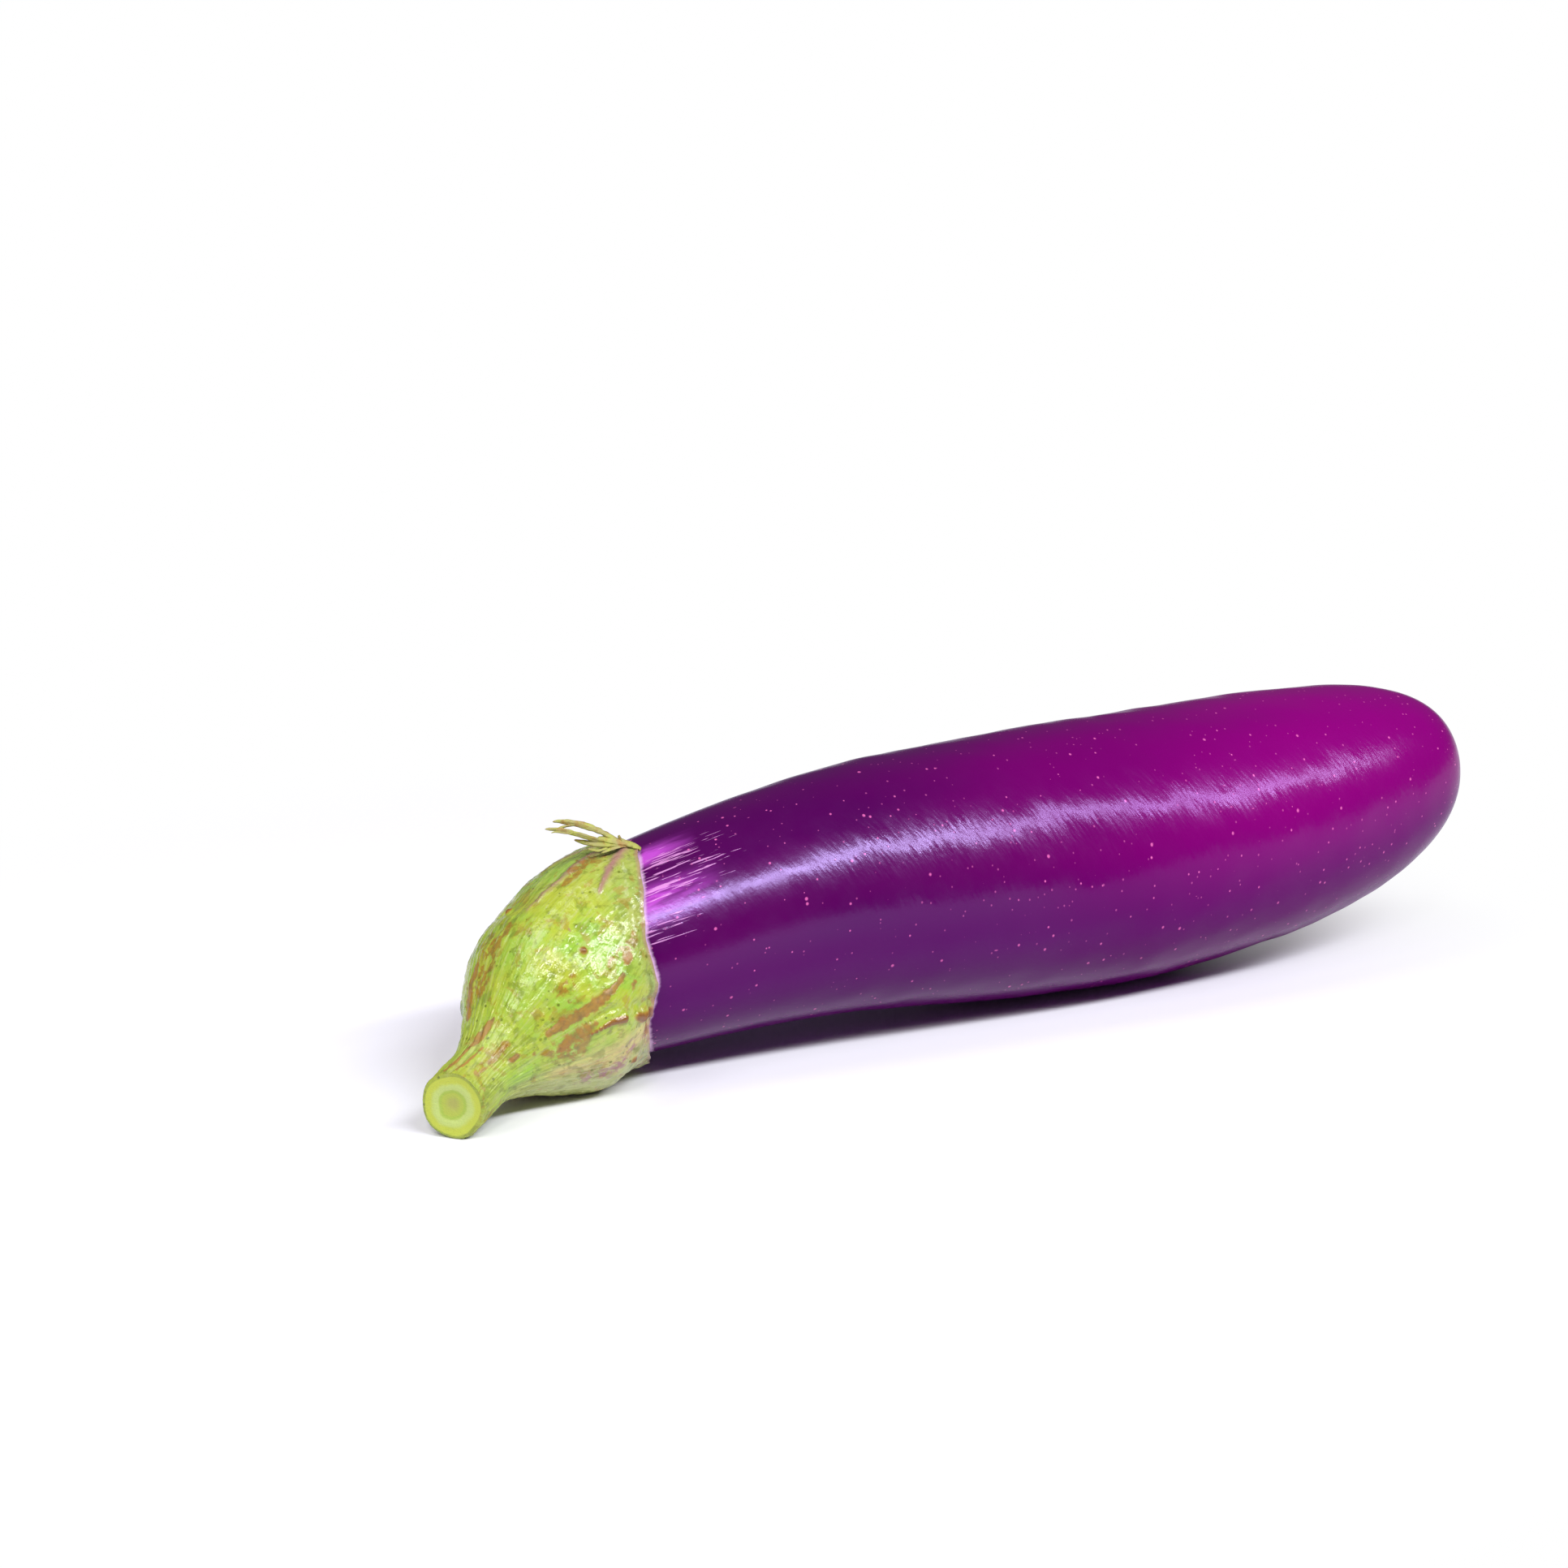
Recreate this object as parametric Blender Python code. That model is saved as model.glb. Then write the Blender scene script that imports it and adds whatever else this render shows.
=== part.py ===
"""A long purple eggplant that lies on its belly, with its green calyx and its cut stalk.

Metres, +Z up. +X runs from the stalk to the blossom end. The shapes are worked out in a frame
whose X is 0 where the calyx ends and the purple skin begins, and whose Y is 0 along the fruit.
At the end everything is moved so that the origin is at the middle of the underside.
"""

import math

import bmesh
import bpy
import numpy as np

# Fruit: stations along X
BUD_END_X = -0.022
SHOULDER_X = -0.002
WIDEST_X = 0.098
BLOSSOM_END_X = 0.1772

# Fruit: radii
WIDEST_RADIUS = 0.025
MARGIN_RADIUS = 0.01775
NECK_POWER = 1.4
SHOULDER_POWER = 2.2
BLOSSOM_POWER_ALONG = 2.4
BLOSSOM_POWER_ACROSS = 2.9

# Fruit: height of its middle line
WIDEST_HEIGHT = 0.0244
BLOSSOM_RISE = 0.0075
BLOSSOM_RISE_POWER = 1.55
NECK_DROP = 0.00455
NECK_DROP_POWER = 2.95
BACK_ARCH = 0.0018
BACK_ARCH_X = 0.040
BACK_ARCH_LENGTH = 0.0315

# Fruit: shallow unevenness of its skin, as waves round it and radians a metre along it
SWELL_DEPTH = 0.00022
SWELL_WAVES = ((2, 60.0), (3, -45.0))
SWELL_START_X = 0.004
SWELL_FULL_X = 0.034
SCAR_DEPTH = 0.0009
SCAR_RADIUS = 0.005

# Underside: pressed flat by its own weight, most where it is lowest
PRESS_DEPTH = 0.0003
PRESS_REACH = 0.004

FRUIT_SEGMENTS = 48
FRUIT_RINGS = 44

# Calyx and stalk: the middle line is one cubic curve from the cut to the calyx's margin
CUT_CENTRE = (-0.0380, -0.0180, 0.0058)
CUT_HANDLE = (-0.0335, -0.0136, 0.0056)
MARGIN_HANDLE = (-0.002, 0.0, 0.0231)
MARGIN_CENTRE = (0.0, 0.0, 0.02015)
TURN_START = 0.45
TURN_END = 0.95
STALK_RADIUS = 0.0056
CUT_ROUNDING = 0.0005
BULB_START = 0.22
BULB_FULL = 0.58
BULB_RADIUS = 0.0157
MARGIN_FLARE = 0.0036
MARGIN_FLARE_POWER = 2.4
STALK_RIBS = 5
STALK_RIB_DEPTH = 0.0001
STALK_OVAL_DEPTH = 0.00011
CAP_FOLD_DEPTH = 0.00035
CAP_FOLD_ANGLE = 0.6

# Calyx: its wall over the fruit
FRUIT_GAP = 0.0003
MARGIN_WALL = 0.0011
HUG_START = 0.62
SOFTEN = 0.0015

# Calyx margin: angle round the fruit from the near side over the top, reach, half width
SINUS_X = -0.0024
LOBES = (
    (2, 0.0013, 25),
    (84, 0.0052, 60),
    (150, 0.0062, 38),
    (222, 0.0060, 38),
    (290, 0.0052, 50),
)
LOBE_POWER = 1.3

CAP_SEGMENTS = 60
FACE_RINGS = 3
OUTER_RINGS = 27
INNER_RINGS = 9

# Dried end of the top lobe: points that each thread runs through, and its radius
THREADS = (
    ("lobe_tip", 0.0011, (
        (0.0026, -0.0022, 0.0400), (-0.0008, -0.0018, 0.0410), (-0.0045, -0.0005, 0.0418))),
    ("thread_high", 0.0006, (
        (-0.0020, -0.0010, 0.0414), (-0.0062, 0.0006, 0.0434), (-0.0107, 0.0015, 0.0451))),
    ("thread_low", 0.0006, (
        (-0.0025, -0.0014, 0.0412), (-0.0075, -0.0012, 0.0430), (-0.0128, 0.0000, 0.0444))),
    ("thread_stub", 0.0006, (
        (-0.0010, -0.0020, 0.0404), (-0.0042, -0.0012, 0.0410), (-0.0074, 0.0000, 0.0417))),
)
THREAD_POINTS = 7
THREAD_TAPER = 0.35
MERGE_DISTANCE = 0.00001

# Linear colours from the photograph: skin, calyx
SKIN_COLOUR = (0.19, 0.0, 0.17, 1.0)
CALYX_COLOUR = (0.45, 0.55, 0.08, 1.0)
SKIN_ROUGHNESS = 0.25
CALYX_ROUGHNESS = 0.5


def smooth_step(t):
    """0 to 1 with level ends."""
    t = np.clip(t, 0.0, 1.0)
    return t * t * (3.0 - 2.0 * t)


def pressed(z):
    """Heights near the surface sink by the press depth, and nothing goes below the surface."""
    sunk = z - PRESS_DEPTH * (1.0 - smooth_step(z / PRESS_REACH))
    return np.maximum(sunk, 0.0)


def fruit_radius(x):
    """The neck widens as a power of the way from the widest place, and each end is rounded off."""
    to_neck = np.clip((WIDEST_X - x) / WIDEST_X, 0.0, 2.0)
    neck = WIDEST_RADIUS - (WIDEST_RADIUS - MARGIN_RADIUS) * to_neck**NECK_POWER
    to_bud = np.clip((SHOULDER_X - x) / (SHOULDER_X - BUD_END_X), 0.0, 1.0)
    neck = neck * (1.0 - to_bud**SHOULDER_POWER) ** (1.0 / SHOULDER_POWER)
    to_blossom = np.clip((x - WIDEST_X) / (BLOSSOM_END_X - WIDEST_X), 0.0, 1.0)
    round_end = (1.0 - to_blossom**BLOSSOM_POWER_ALONG) ** (1.0 / BLOSSOM_POWER_ACROSS)
    return np.where(x > WIDEST_X, WIDEST_RADIUS * round_end, neck)


def fruit_height(x):
    """Height of the middle line: a drooping neck, an arch before the belly, a rising blossom end."""
    to_neck = np.clip((WIDEST_X - x) / WIDEST_X, 0.0, 2.0)
    to_blossom = np.clip((x - WIDEST_X) / (BLOSSOM_END_X - WIDEST_X), 0.0, 1.0)
    arch = BACK_ARCH * np.exp(-(((x - BACK_ARCH_X) / BACK_ARCH_LENGTH) ** 2))
    rise = BLOSSOM_RISE * to_blossom**BLOSSOM_RISE_POWER
    return WIDEST_HEIGHT + rise - NECK_DROP * to_neck**NECK_DROP_POWER + arch


def fruit_surface(along, around):
    """Sections across X. The angle starts at the near side, -Y, and goes up over the top."""
    x = BUD_END_X + (BLOSSOM_END_X - BUD_END_X) * (1.0 - np.cos(math.pi * along)) / 2.0
    radius = fruit_radius(x)
    swell = sum(np.sin(count * around + turn * x) for count, turn in SWELL_WAVES)
    bare = smooth_step((x - SWELL_START_X) / (SWELL_FULL_X - SWELL_START_X))
    radius = radius + SWELL_DEPTH * swell * bare * (radius / WIDEST_RADIUS) ** 2
    scar = SCAR_DEPTH * np.exp(-((radius / SCAR_RADIUS) ** 2)) * (along > 0.5)
    y = -radius * np.cos(around)
    z = fruit_height(x) + radius * np.sin(around)
    return np.stack([x - scar, y, pressed(z)], axis=-1)


def stalk_line(t):
    """Middle line of the stalk and the calyx, and the way its sections face, which ends along the fruit."""
    t = t[:, None]
    a, b, c, d = (np.array(p) for p in (CUT_CENTRE, CUT_HANDLE, MARGIN_HANDLE, MARGIN_CENTRE))
    s = 1.0 - t
    place = a * s**3 + 3.0 * b * t * s**2 + 3.0 * c * t**2 * s + d * t**3
    way = 3.0 * ((b - a) * s**2 + 2.0 * (c - b) * t * s + (d - c) * t**2)
    way /= np.linalg.norm(way, axis=1, keepdims=True)
    turn = smooth_step((t - TURN_START) / (TURN_END - TURN_START))
    way = way + (np.array((1.0, 0.0, 0.0)) - way) * turn
    return place, way / np.linalg.norm(way, axis=1, keepdims=True)


def margin_x(around):
    """Where the calyx ends: five lobes whose edges are concave, with shallow sinuses between them."""
    reach = np.zeros_like(around)
    for angle, length, half_width in LOBES:
        away = np.abs((np.degrees(around) - angle + 180.0) % 360.0 - 180.0)
        lobe = length * np.clip(1.0 - away / half_width, 0.0, 1.0) ** LOBE_POWER
        reach = np.maximum(reach, lobe)
    return SINUS_X + reach


def round_stalk(t, radius, around):
    """Points on the section at t, at an angle from the near side over the top."""
    place, way = stalk_line(t)
    side = np.cross(way, (0.0, 0.0, 1.0))
    side /= np.linalg.norm(side, axis=1, keepdims=True)
    rise = np.cross(side, way)
    radius = radius[:, None]
    return place + radius * (np.cos(around)[:, None] * side + np.sin(around)[:, None] * rise)


def stalk_radius(t, around):
    """Ribbed stalk that swells into the calyx's bulb and flares a little at the margin."""
    ribs = STALK_RIB_DEPTH * np.cos(STALK_RIBS * around) + STALK_OVAL_DEPTH * np.sin(2.0 * around)
    bulb = smooth_step((t - BULB_START) / (BULB_FULL - BULB_START))
    folds = CAP_FOLD_DEPTH * bulb * np.cos(STALK_RIBS * around - CAP_FOLD_ANGLE)
    flare = MARGIN_FLARE * t**MARGIN_FLARE_POWER
    return STALK_RADIUS + ribs * (1.0 - bulb) + (BULB_RADIUS - STALK_RADIUS) * bulb + flare + folds


def outer_calyx(t, around):
    """The bulb drawn out to the lobes, and pressed onto the fruit near the margin."""
    points = round_stalk(t, stalk_radius(t, around), around)
    hug = smooth_step((t - HUG_START) / (1.0 - HUG_START))
    points[:, 0] += margin_x(around) * hug
    middle = np.stack([np.zeros_like(t), fruit_height(points[:, 0])], axis=-1)
    offset = points[:, 1:] - middle
    distance = np.linalg.norm(offset, axis=1)
    wall = FRUIT_GAP + MARGIN_WALL
    least = fruit_radius(points[:, 0] + wall) + wall
    cover = (distance + least + np.hypot(distance - least, SOFTEN)) / 2.0
    snug = fruit_radius(points[:, 0]) + wall
    wanted = cover + (snug - cover) * hug**2
    points[:, 1:] = middle + offset * (wanted / distance)[:, None]
    return points


def inner_calyx(v, around):
    """The hollow that the fruit's end fills, from the margin to the end of the bud."""
    edge = margin_x(around)
    pole = BUD_END_X - FRUIT_GAP
    x = pole + (edge - pole) * (1.0 - np.sin(v * math.pi / 2.0))
    radius = np.where(v < 1.0, fruit_radius(x + FRUIT_GAP) + FRUIT_GAP, 0.0)
    y = -radius * np.cos(around)
    z = fruit_height(x) + radius * np.sin(around)
    return np.stack([x, y, z], axis=-1)


def calyx_surface(along, around):
    """From the middle of the cut, over its rim, up the stalk and calyx, round the margin and inside."""
    ring = np.round(along * (FACE_RINGS + OUTER_RINGS + INNER_RINGS))
    face_share = np.clip(ring / FACE_RINGS, 0.0, 1.0)
    t = np.clip((ring - FACE_RINGS) / OUTER_RINGS, 0.0, 1.0)
    v = np.clip((ring - FACE_RINGS - OUTER_RINGS) / INNER_RINGS, 0.0, 1.0)
    radius = (stalk_radius(t * 0.0, around) - CUT_ROUNDING) * face_share
    face = round_stalk(t * 0.0, radius, around)
    points = np.where((ring <= FACE_RINGS)[:, None], face, outer_calyx(t, around))
    points = np.where((v > 0.0)[:, None], inner_calyx(v, around), points)
    points[:, 2] = pressed(points[:, 2])
    return points


def wrapped_sphere(name, segments, rings, surface):
    """A sphere whose points are carried to surface(along, around), pole to pole."""
    bm = bmesh.new()
    bmesh.ops.create_uvsphere(bm, u_segments=segments, v_segments=rings, radius=1.0)
    mesh = bpy.data.meshes.new(name)
    bm.to_mesh(mesh)
    bm.free()
    points = np.empty(len(mesh.vertices) * 3)
    mesh.vertices.foreach_get("co", points)
    x, y, z = points.reshape(-1, 3).T
    along = np.arccos(np.clip(z, -1.0, 1.0)) / math.pi
    around = np.where(np.hypot(x, y) > 1e-6, np.arctan2(y, x), 0.0)
    mesh.vertices.foreach_set("co", surface(along, around).ravel())
    mesh.update()
    mesh.shade_smooth()
    return bpy.data.objects.new(name, mesh)


def thread(name, radius, places):
    """A dried thread: a tapered wire along a parabola through three points, made a closed mesh."""
    start, middle, end = (np.array(p) for p in places)
    t = np.linspace(0.0, 1.0, THREAD_POINTS)[:, None]
    path = start * (1 - t) * (1 - 2 * t) + middle * 4 * t * (1 - t) + end * t * (2 * t - 1)
    curve = bpy.data.curves.new(name, "CURVE")
    curve.dimensions = "3D"
    curve.bevel_depth = radius
    curve.bevel_resolution = 2
    curve.use_fill_caps = True
    spline = curve.splines.new("POLY")
    spline.points.add(THREAD_POINTS - 1)
    for i, point in enumerate(spline.points):
        point.co = (*path[i], 1.0)
        point.radius = 1.0 - THREAD_TAPER * i / (THREAD_POINTS - 1)
    wire = bpy.data.objects.new(name + "_wire", curve)
    bpy.context.scene.collection.objects.link(wire)
    graph = bpy.context.evaluated_depsgraph_get()
    mesh = bpy.data.meshes.new_from_object(wire.evaluated_get(graph))
    bpy.data.objects.remove(wire)
    bm = bmesh.new()
    bm.from_mesh(mesh)
    bmesh.ops.remove_doubles(bm, verts=bm.verts, dist=MERGE_DISTANCE)
    bm.to_mesh(mesh)
    bm.free()
    return bpy.data.objects.new(name, mesh)


def join_threads(calyx, helpers):
    """One union of the calyx with every thread, applied, with the threads then removed."""
    threads = bpy.data.collections.new("threads")
    helpers.children.link(threads)
    for name, radius, places in THREADS:
        threads.objects.link(thread(name, radius, places))
    union = calyx.modifiers.new("join_threads", "BOOLEAN")
    union.operation = "UNION"
    union.operand_type = "COLLECTION"
    union.collection = threads
    bpy.context.view_layer.update()
    graph = bpy.context.evaluated_depsgraph_get()
    joined = bpy.data.meshes.new_from_object(calyx.evaluated_get(graph))
    calyx.modifiers.clear()
    calyx.data = joined
    joined.shade_smooth()
    for obj in list(threads.objects):
        bpy.data.objects.remove(obj)
    bpy.data.collections.remove(threads)


def plain_material(name, colour, roughness):
    material = bpy.data.materials.new(name)
    material.use_nodes = True
    shader = material.node_tree.nodes["Principled BSDF"]
    shader.inputs["Base Color"].default_value = colour
    shader.inputs["Roughness"].default_value = roughness
    shader.inputs["Metallic"].default_value = 0.0
    return material


def stand_on_origin(parts):
    """Moves the parts alike, so that the origin is the middle of the underside of them all."""
    corners = []
    for part in parts:
        points = np.empty(len(part.data.vertices) * 3)
        part.data.vertices.foreach_get("co", points)
        corners.append(points.reshape(-1, 3))
    points = np.concatenate(corners)
    low, high = points.min(axis=0), points.max(axis=0)
    for part in parts:
        part.location = (-(low[0] + high[0]) / 2.0, -(low[1] + high[1]) / 2.0, -low[2])


def main():
    for obj in list(bpy.data.objects):
        bpy.data.objects.remove(obj)
    parts = bpy.data.collections.new("eggplant")
    helpers = bpy.data.collections.new("helpers")
    helpers.hide_render = True
    bpy.context.scene.collection.children.link(parts)
    bpy.context.scene.collection.children.link(helpers)

    fruit = wrapped_sphere("fruit", FRUIT_SEGMENTS, FRUIT_RINGS, fruit_surface)
    parts.objects.link(fruit)
    calyx_rings = FACE_RINGS + OUTER_RINGS + INNER_RINGS
    calyx = wrapped_sphere("calyx_stalk", CAP_SEGMENTS, calyx_rings, calyx_surface)
    parts.objects.link(calyx)
    join_threads(calyx, helpers)

    fruit.data.materials.append(plain_material("purple_skin", SKIN_COLOUR, SKIN_ROUGHNESS))
    calyx.data.materials.clear()
    calyx.data.materials.append(plain_material("green_calyx", CALYX_COLOUR, CALYX_ROUGHNESS))
    stand_on_origin((fruit, calyx))


main()
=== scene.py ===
"""Dresses the long purple eggplant: glossy skin, green calyx and stalk, dried threads, and a pale stage.

Metres, +Z up. The shapes are worked out in a frame whose X is 0 where the calyx ends and the purple
skin begins, and whose Y is 0 along the fruit. X runs from the stalk to the blossom end. Angles go
round the fruit from the near side, -Y, up over the top. The frame's own fruit gives where that
frame lies, so every piece stands where its solid does.
"""

import math

import bpy
import numpy as np
from mathutils import Matrix, Vector


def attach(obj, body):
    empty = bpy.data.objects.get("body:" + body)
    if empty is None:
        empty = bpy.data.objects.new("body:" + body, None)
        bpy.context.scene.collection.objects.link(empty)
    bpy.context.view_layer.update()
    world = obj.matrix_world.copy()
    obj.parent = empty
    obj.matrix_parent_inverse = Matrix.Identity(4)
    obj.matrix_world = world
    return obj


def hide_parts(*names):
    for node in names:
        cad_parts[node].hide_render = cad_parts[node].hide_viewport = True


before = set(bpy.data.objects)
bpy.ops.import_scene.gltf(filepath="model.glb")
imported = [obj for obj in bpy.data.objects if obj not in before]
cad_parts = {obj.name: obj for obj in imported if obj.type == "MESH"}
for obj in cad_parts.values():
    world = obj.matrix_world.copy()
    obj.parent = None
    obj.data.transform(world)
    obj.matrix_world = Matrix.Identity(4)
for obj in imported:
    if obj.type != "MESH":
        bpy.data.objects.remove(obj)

bl_info = {
    "name": "Long Purple Eggplant",
    "version": (1, 0, 0),
    "blender": (4, 5, 0),
    "location": "3D View > Sidebar > Eggplant",
    "description": "Builds the skin, calyx, stalk and dried threads of a long purple eggplant",
    "category": "Add Mesh",
}

BODY = "root"

# Fruit: stations along X, radii and heights of its middle line
BUD_END_X = -0.022
SHOULDER_X = -0.002
WIDEST_X = 0.098
BLOSSOM_END_X = 0.1772
NECK_POWER = 1.4
SHOULDER_POWER = 2.2
BLOSSOM_POWER_ALONG = 2.4
BLOSSOM_POWER_ACROSS = 2.9
WIDEST_HEIGHT = 0.0244
BLOSSOM_RISE = 0.0075
BLOSSOM_RISE_POWER = 1.55
NECK_DROP = 0.00455
NECK_DROP_POWER = 2.95
BACK_ARCH = 0.0018
BACK_ARCH_X = 0.040
BACK_ARCH_LENGTH = 0.0315
SWELL_WAVES = ((2, 60.0), (3, -45.0))
SWELL_START_X = 0.004
SWELL_FULL_X = 0.034
SCAR_DEPTH = 0.0009
SCAR_RADIUS = 0.005
WIDE_DIMPLES = 0.017
SMALL_DIMPLES = 0.0075
FLAT_X = 0.070
FLAT_LENGTH = 0.024
FLAT_ANGLE = 78.0
FLAT_HALF_ANGLE = 72.0
PRESS_DEPTH = 0.0003
PRESS_REACH = 0.004
FRUIT_RINGS = 330
FRUIT_SEGMENTS = 288

# Skin: where it goes over from the dark neck end to the magenta belly (ripening, and painted shade at the
# neck end), where painted shade turns it dark below, and the band round the fruit whose reflections are
# frayed
ROD_RADIUS = 0.02
RIPE_AND_LIT_START_X = 0.028
RIPE_AND_LIT_LENGTH = 0.125
LOW_SIDE_EDGE = -0.35
LOW_SIDE_FADE = 0.75
SLANT = 0.5
FRAY_MIDDLE = 36.0
FRAY_HALF_WIDTH = 48.0
FRAY_START_X = 0.018
FRAY_LENGTH = 0.030
FRAY_AT_NECK = 0.35

# Calyx and stalk: middle line from the cut to the margin, and the sections along it
CUT_CENTRE = (-0.0380, -0.0180, 0.0058)
CUT_HANDLE = (-0.0335, -0.0136, 0.0056)
MARGIN_HANDLE = (-0.002, 0.0, 0.0231)
MARGIN_CENTRE = (0.0, 0.0, 0.02015)
TURN_START = 0.45
TURN_END = 0.95
CUT_ROUNDING_SHARE = 0.02
BULB_START = 0.22
BULB_FULL = 0.58
MARGIN_FLARE = 0.0036
MARGIN_FLARE_POWER = 2.4
STALK_RIBS = 5
STALK_RIB_DEPTH = 0.0001
STALK_OVAL_DEPTH = 0.00011
CAP_FOLD_DEPTH = 0.00035
CAP_FOLD_ANGLE = 0.6
FRUIT_GAP = 0.0003
HUG_START = 0.62
SOFTEN = 0.0015
SINUS_X = -0.0024
LOBE_POWER = 1.3
LOBES = (
    (2, 0.0013, 25),
    (84, 0.0052, 60),
    (150, 0.0062, 38),
    (222, 0.0060, 38),
    (290, 0.0052, 50),
)
FACE_RINGS = 18
OUTER_RINGS = 232
INNER_RINGS = 14
CALYX_SEGMENTS = 336

# Relief of the calyx, and its cut face; a wave is the length of one wave
UNDERSIDE_EDGE = 0.05
UNDERSIDE_FADE = 0.6
RIB_WAVE = 0.0021
FINE_RIB_WAVE = 0.0011
LUMP_WAVE = 0.0055
SMALL_LUMP_WAVE = 0.0024
PIT_WAVE = 0.0012
MARGIN_WAVE = 0.0042
FACE_WAVE = 0.0008
MARK_EDGE_WAVE = 0.0022
FINE_MARK_EDGE_WAVE = 0.0009
MARK_STEPS = 32
RIM_HEIGHT = 0.00022
RIM_WIDTH = 0.0011
GROOVE_PLACE = 0.0026
GROOVE_WIDTH = 0.0009
PIT_DEPTH = 0.00004
CORK_DEPTH = 0.00016
FOLD_LIP_COLUMNS = 7
ROD_LENGTH = 0.012
FAR_SIDE_START = 112.0
FAR_SIDE_END = 330.0
FAR_SIDE_FADE = 20.0
LIFT_START = 0.86
WIGGLE_START = 0.90
WIGGLE_RADIUS = 0.0185
CORNER_DROP = 0.11
DISH_DEPTH = 0.00035
RING_PLACE = 0.66
RING_WIDTH = 0.12
RING_HEIGHT = 0.00014
PITH_WIDTH = 0.17
PITH_DEPTH = 0.00016
FACE_GRAIN = 0.00002

# Marks on the calyx: share of the middle line, angle and half width at places along each, and strength
CORKY_MARKS = (
    (((0.655, 23, 0.0006), (0.60, 22, 0.0010), (0.55, 23, 0.0014), (0.50, 24, 0.0015), (0.46, 25, 0.0016),
      (0.42, 26, 0.0016), (0.39, 27, 0.0010)), 1.0),
    (((0.49, 13, 0.0009), (0.45, 14, 0.0021), (0.41, 12, 0.0021), (0.385, 8, 0.0010)), 0.62),
    (((0.285, 28, 0.0009), (0.300, 29, 0.0010)), 0.9),
    (((0.735, 26, 0.0007), (0.705, 25, 0.0012)), 0.75),
    (((0.695, 14, 0.0009), (0.68, 14, 0.0009)), 0.7),
    (((0.335, 81, 0.0005), (0.30, 86, 0.0014), (0.27, 92, 0.0013), (0.24, 98, 0.0006)), 0.9),
    (((0.25, 99, 0.0006), (0.16, 103, 0.0007), (0.09, 110, 0.0005)), 0.85),
    (((0.25, 75, 0.0004), (0.155, 80, 0.0006), (0.10, 86, 0.0004)), 0.7),
    (((0.46, 124, 0.0012), (0.40, 129, 0.0018), (0.34, 127, 0.0012)), 0.8),
    (((0.93, 334, 0.0007), (0.86, 339, 0.0014), (0.79, 342, 0.0008)), 0.75),
    (((0.46, 196, 0.0010), (0.56, 203, 0.0019), (0.68, 200, 0.0010)), 0.9),
    (((0.36, 262, 0.0016), (0.43, 266, 0.0030), (0.50, 268, 0.0014)), 0.6),
    (((0.62, 158, 0.0008), (0.67, 155, 0.0014), (0.72, 152, 0.0008)), 0.8),
    (((0.56, 236, 0.0015), (0.60, 238, 0.0012)), 0.8),
)
SCUFFS = (
    (((0.54, 103, 0.0014), (0.49, 109, 0.0032), (0.43, 111, 0.0030), (0.39, 113, 0.0012)), 1.0),
    (((0.82, 86, 0.0010), (0.76, 91, 0.0022), (0.69, 88, 0.0010)), 0.8),
    (((0.52, 45, 0.0010), (0.485, 44, 0.0018), (0.46, 46, 0.0010)), 0.55),
    (((0.46, 6, 0.0020), (0.40, 2, 0.0026), (0.36, 12, 0.0012)), 0.6),
    (((0.80, 30, 0.0012), (0.70, 30, 0.0020), (0.64, 33, 0.0012)), 0.6),
    (((0.30, 50, 0.0010), (0.22, 52, 0.0016), (0.14, 55, 0.0010)), 0.6),
    (((0.50, 150, 0.0020), (0.58, 165, 0.0034), (0.66, 172, 0.0018)), 0.8),
    (((0.40, 218, 0.0016), (0.50, 226, 0.0034), (0.60, 232, 0.0018)), 0.8),
    (((0.55, 285, 0.0020), (0.66, 292, 0.0034), (0.76, 296, 0.0018)), 0.7),
)
PINK_CREASES = (
    (((0.91, 87, 0.0017), (0.80, 74.5, 0.0013), (0.735, 66, 0.0006)), 1.0),
    (((0.90, 93, 0.0014), (0.80, 95, 0.0015), (0.70, 94, 0.0013), (0.60, 97, 0.0006)), 0.85),
    (((0.88, 98, 0.0010), (0.80, 112, 0.0011), (0.72, 120, 0.0006)), 0.7),
    (((0.93, 222, 0.0010), (0.82, 221, 0.0010), (0.70, 224, 0.0005)), 0.7),
    (((0.93, 150, 0.0010), (0.84, 150, 0.0010), (0.74, 146, 0.0005)), 0.6),
)
# Folds, where one lobe lies over the next: a groove that is brown, with a painted shadow line along its
# middle.
FOLDS = (
    (((0.99, 346, 0.0012), (0.80, 349, 0.0013), (0.70, 352, 0.0013), (0.647, 358, 0.0012), (0.58, 4, 0.0011),
      (0.532, 8, 0.0009), (0.47, 9, 0.0005)), 1.0),
    (((0.98, 186, 0.0012), (0.80, 183, 0.0012), (0.66, 180, 0.0006)), 0.8),
    (((0.98, 258, 0.0012), (0.82, 255, 0.0012), (0.68, 252, 0.0006)), 0.8),
)
DULL_PLACES = (
    (((0.38, 344, 0.0030), (0.46, 344, 0.0050), (0.56, 342, 0.0062), (0.68, 340, 0.0060), (0.82, 337, 0.0060),
      (0.96, 334, 0.0050)), 1.0),
    (((0.50, 180, 0.0030), (0.66, 176, 0.0050), (0.84, 172, 0.0050)), 0.8),
    (((0.46, 254, 0.0030), (0.62, 248, 0.0055), (0.84, 244, 0.0050)), 0.8),
)
BRUISES = (
    (((0.45, 324, 0.0022), (0.50, 326, 0.0034), (0.56, 334, 0.0034), (0.60, 340, 0.0022)), 1.0),
    (((0.80, 338, 0.0022), (0.92, 332, 0.0028)), 0.8),
    (((0.93, 222, 0.0026), (0.985, 222, 0.0028)), 0.8),
    (((0.93, 150, 0.0024), (0.985, 150, 0.0026)), 0.8),
    (((0.82, 186, 0.0022), (0.95, 186, 0.0026)), 0.8),
)
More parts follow.
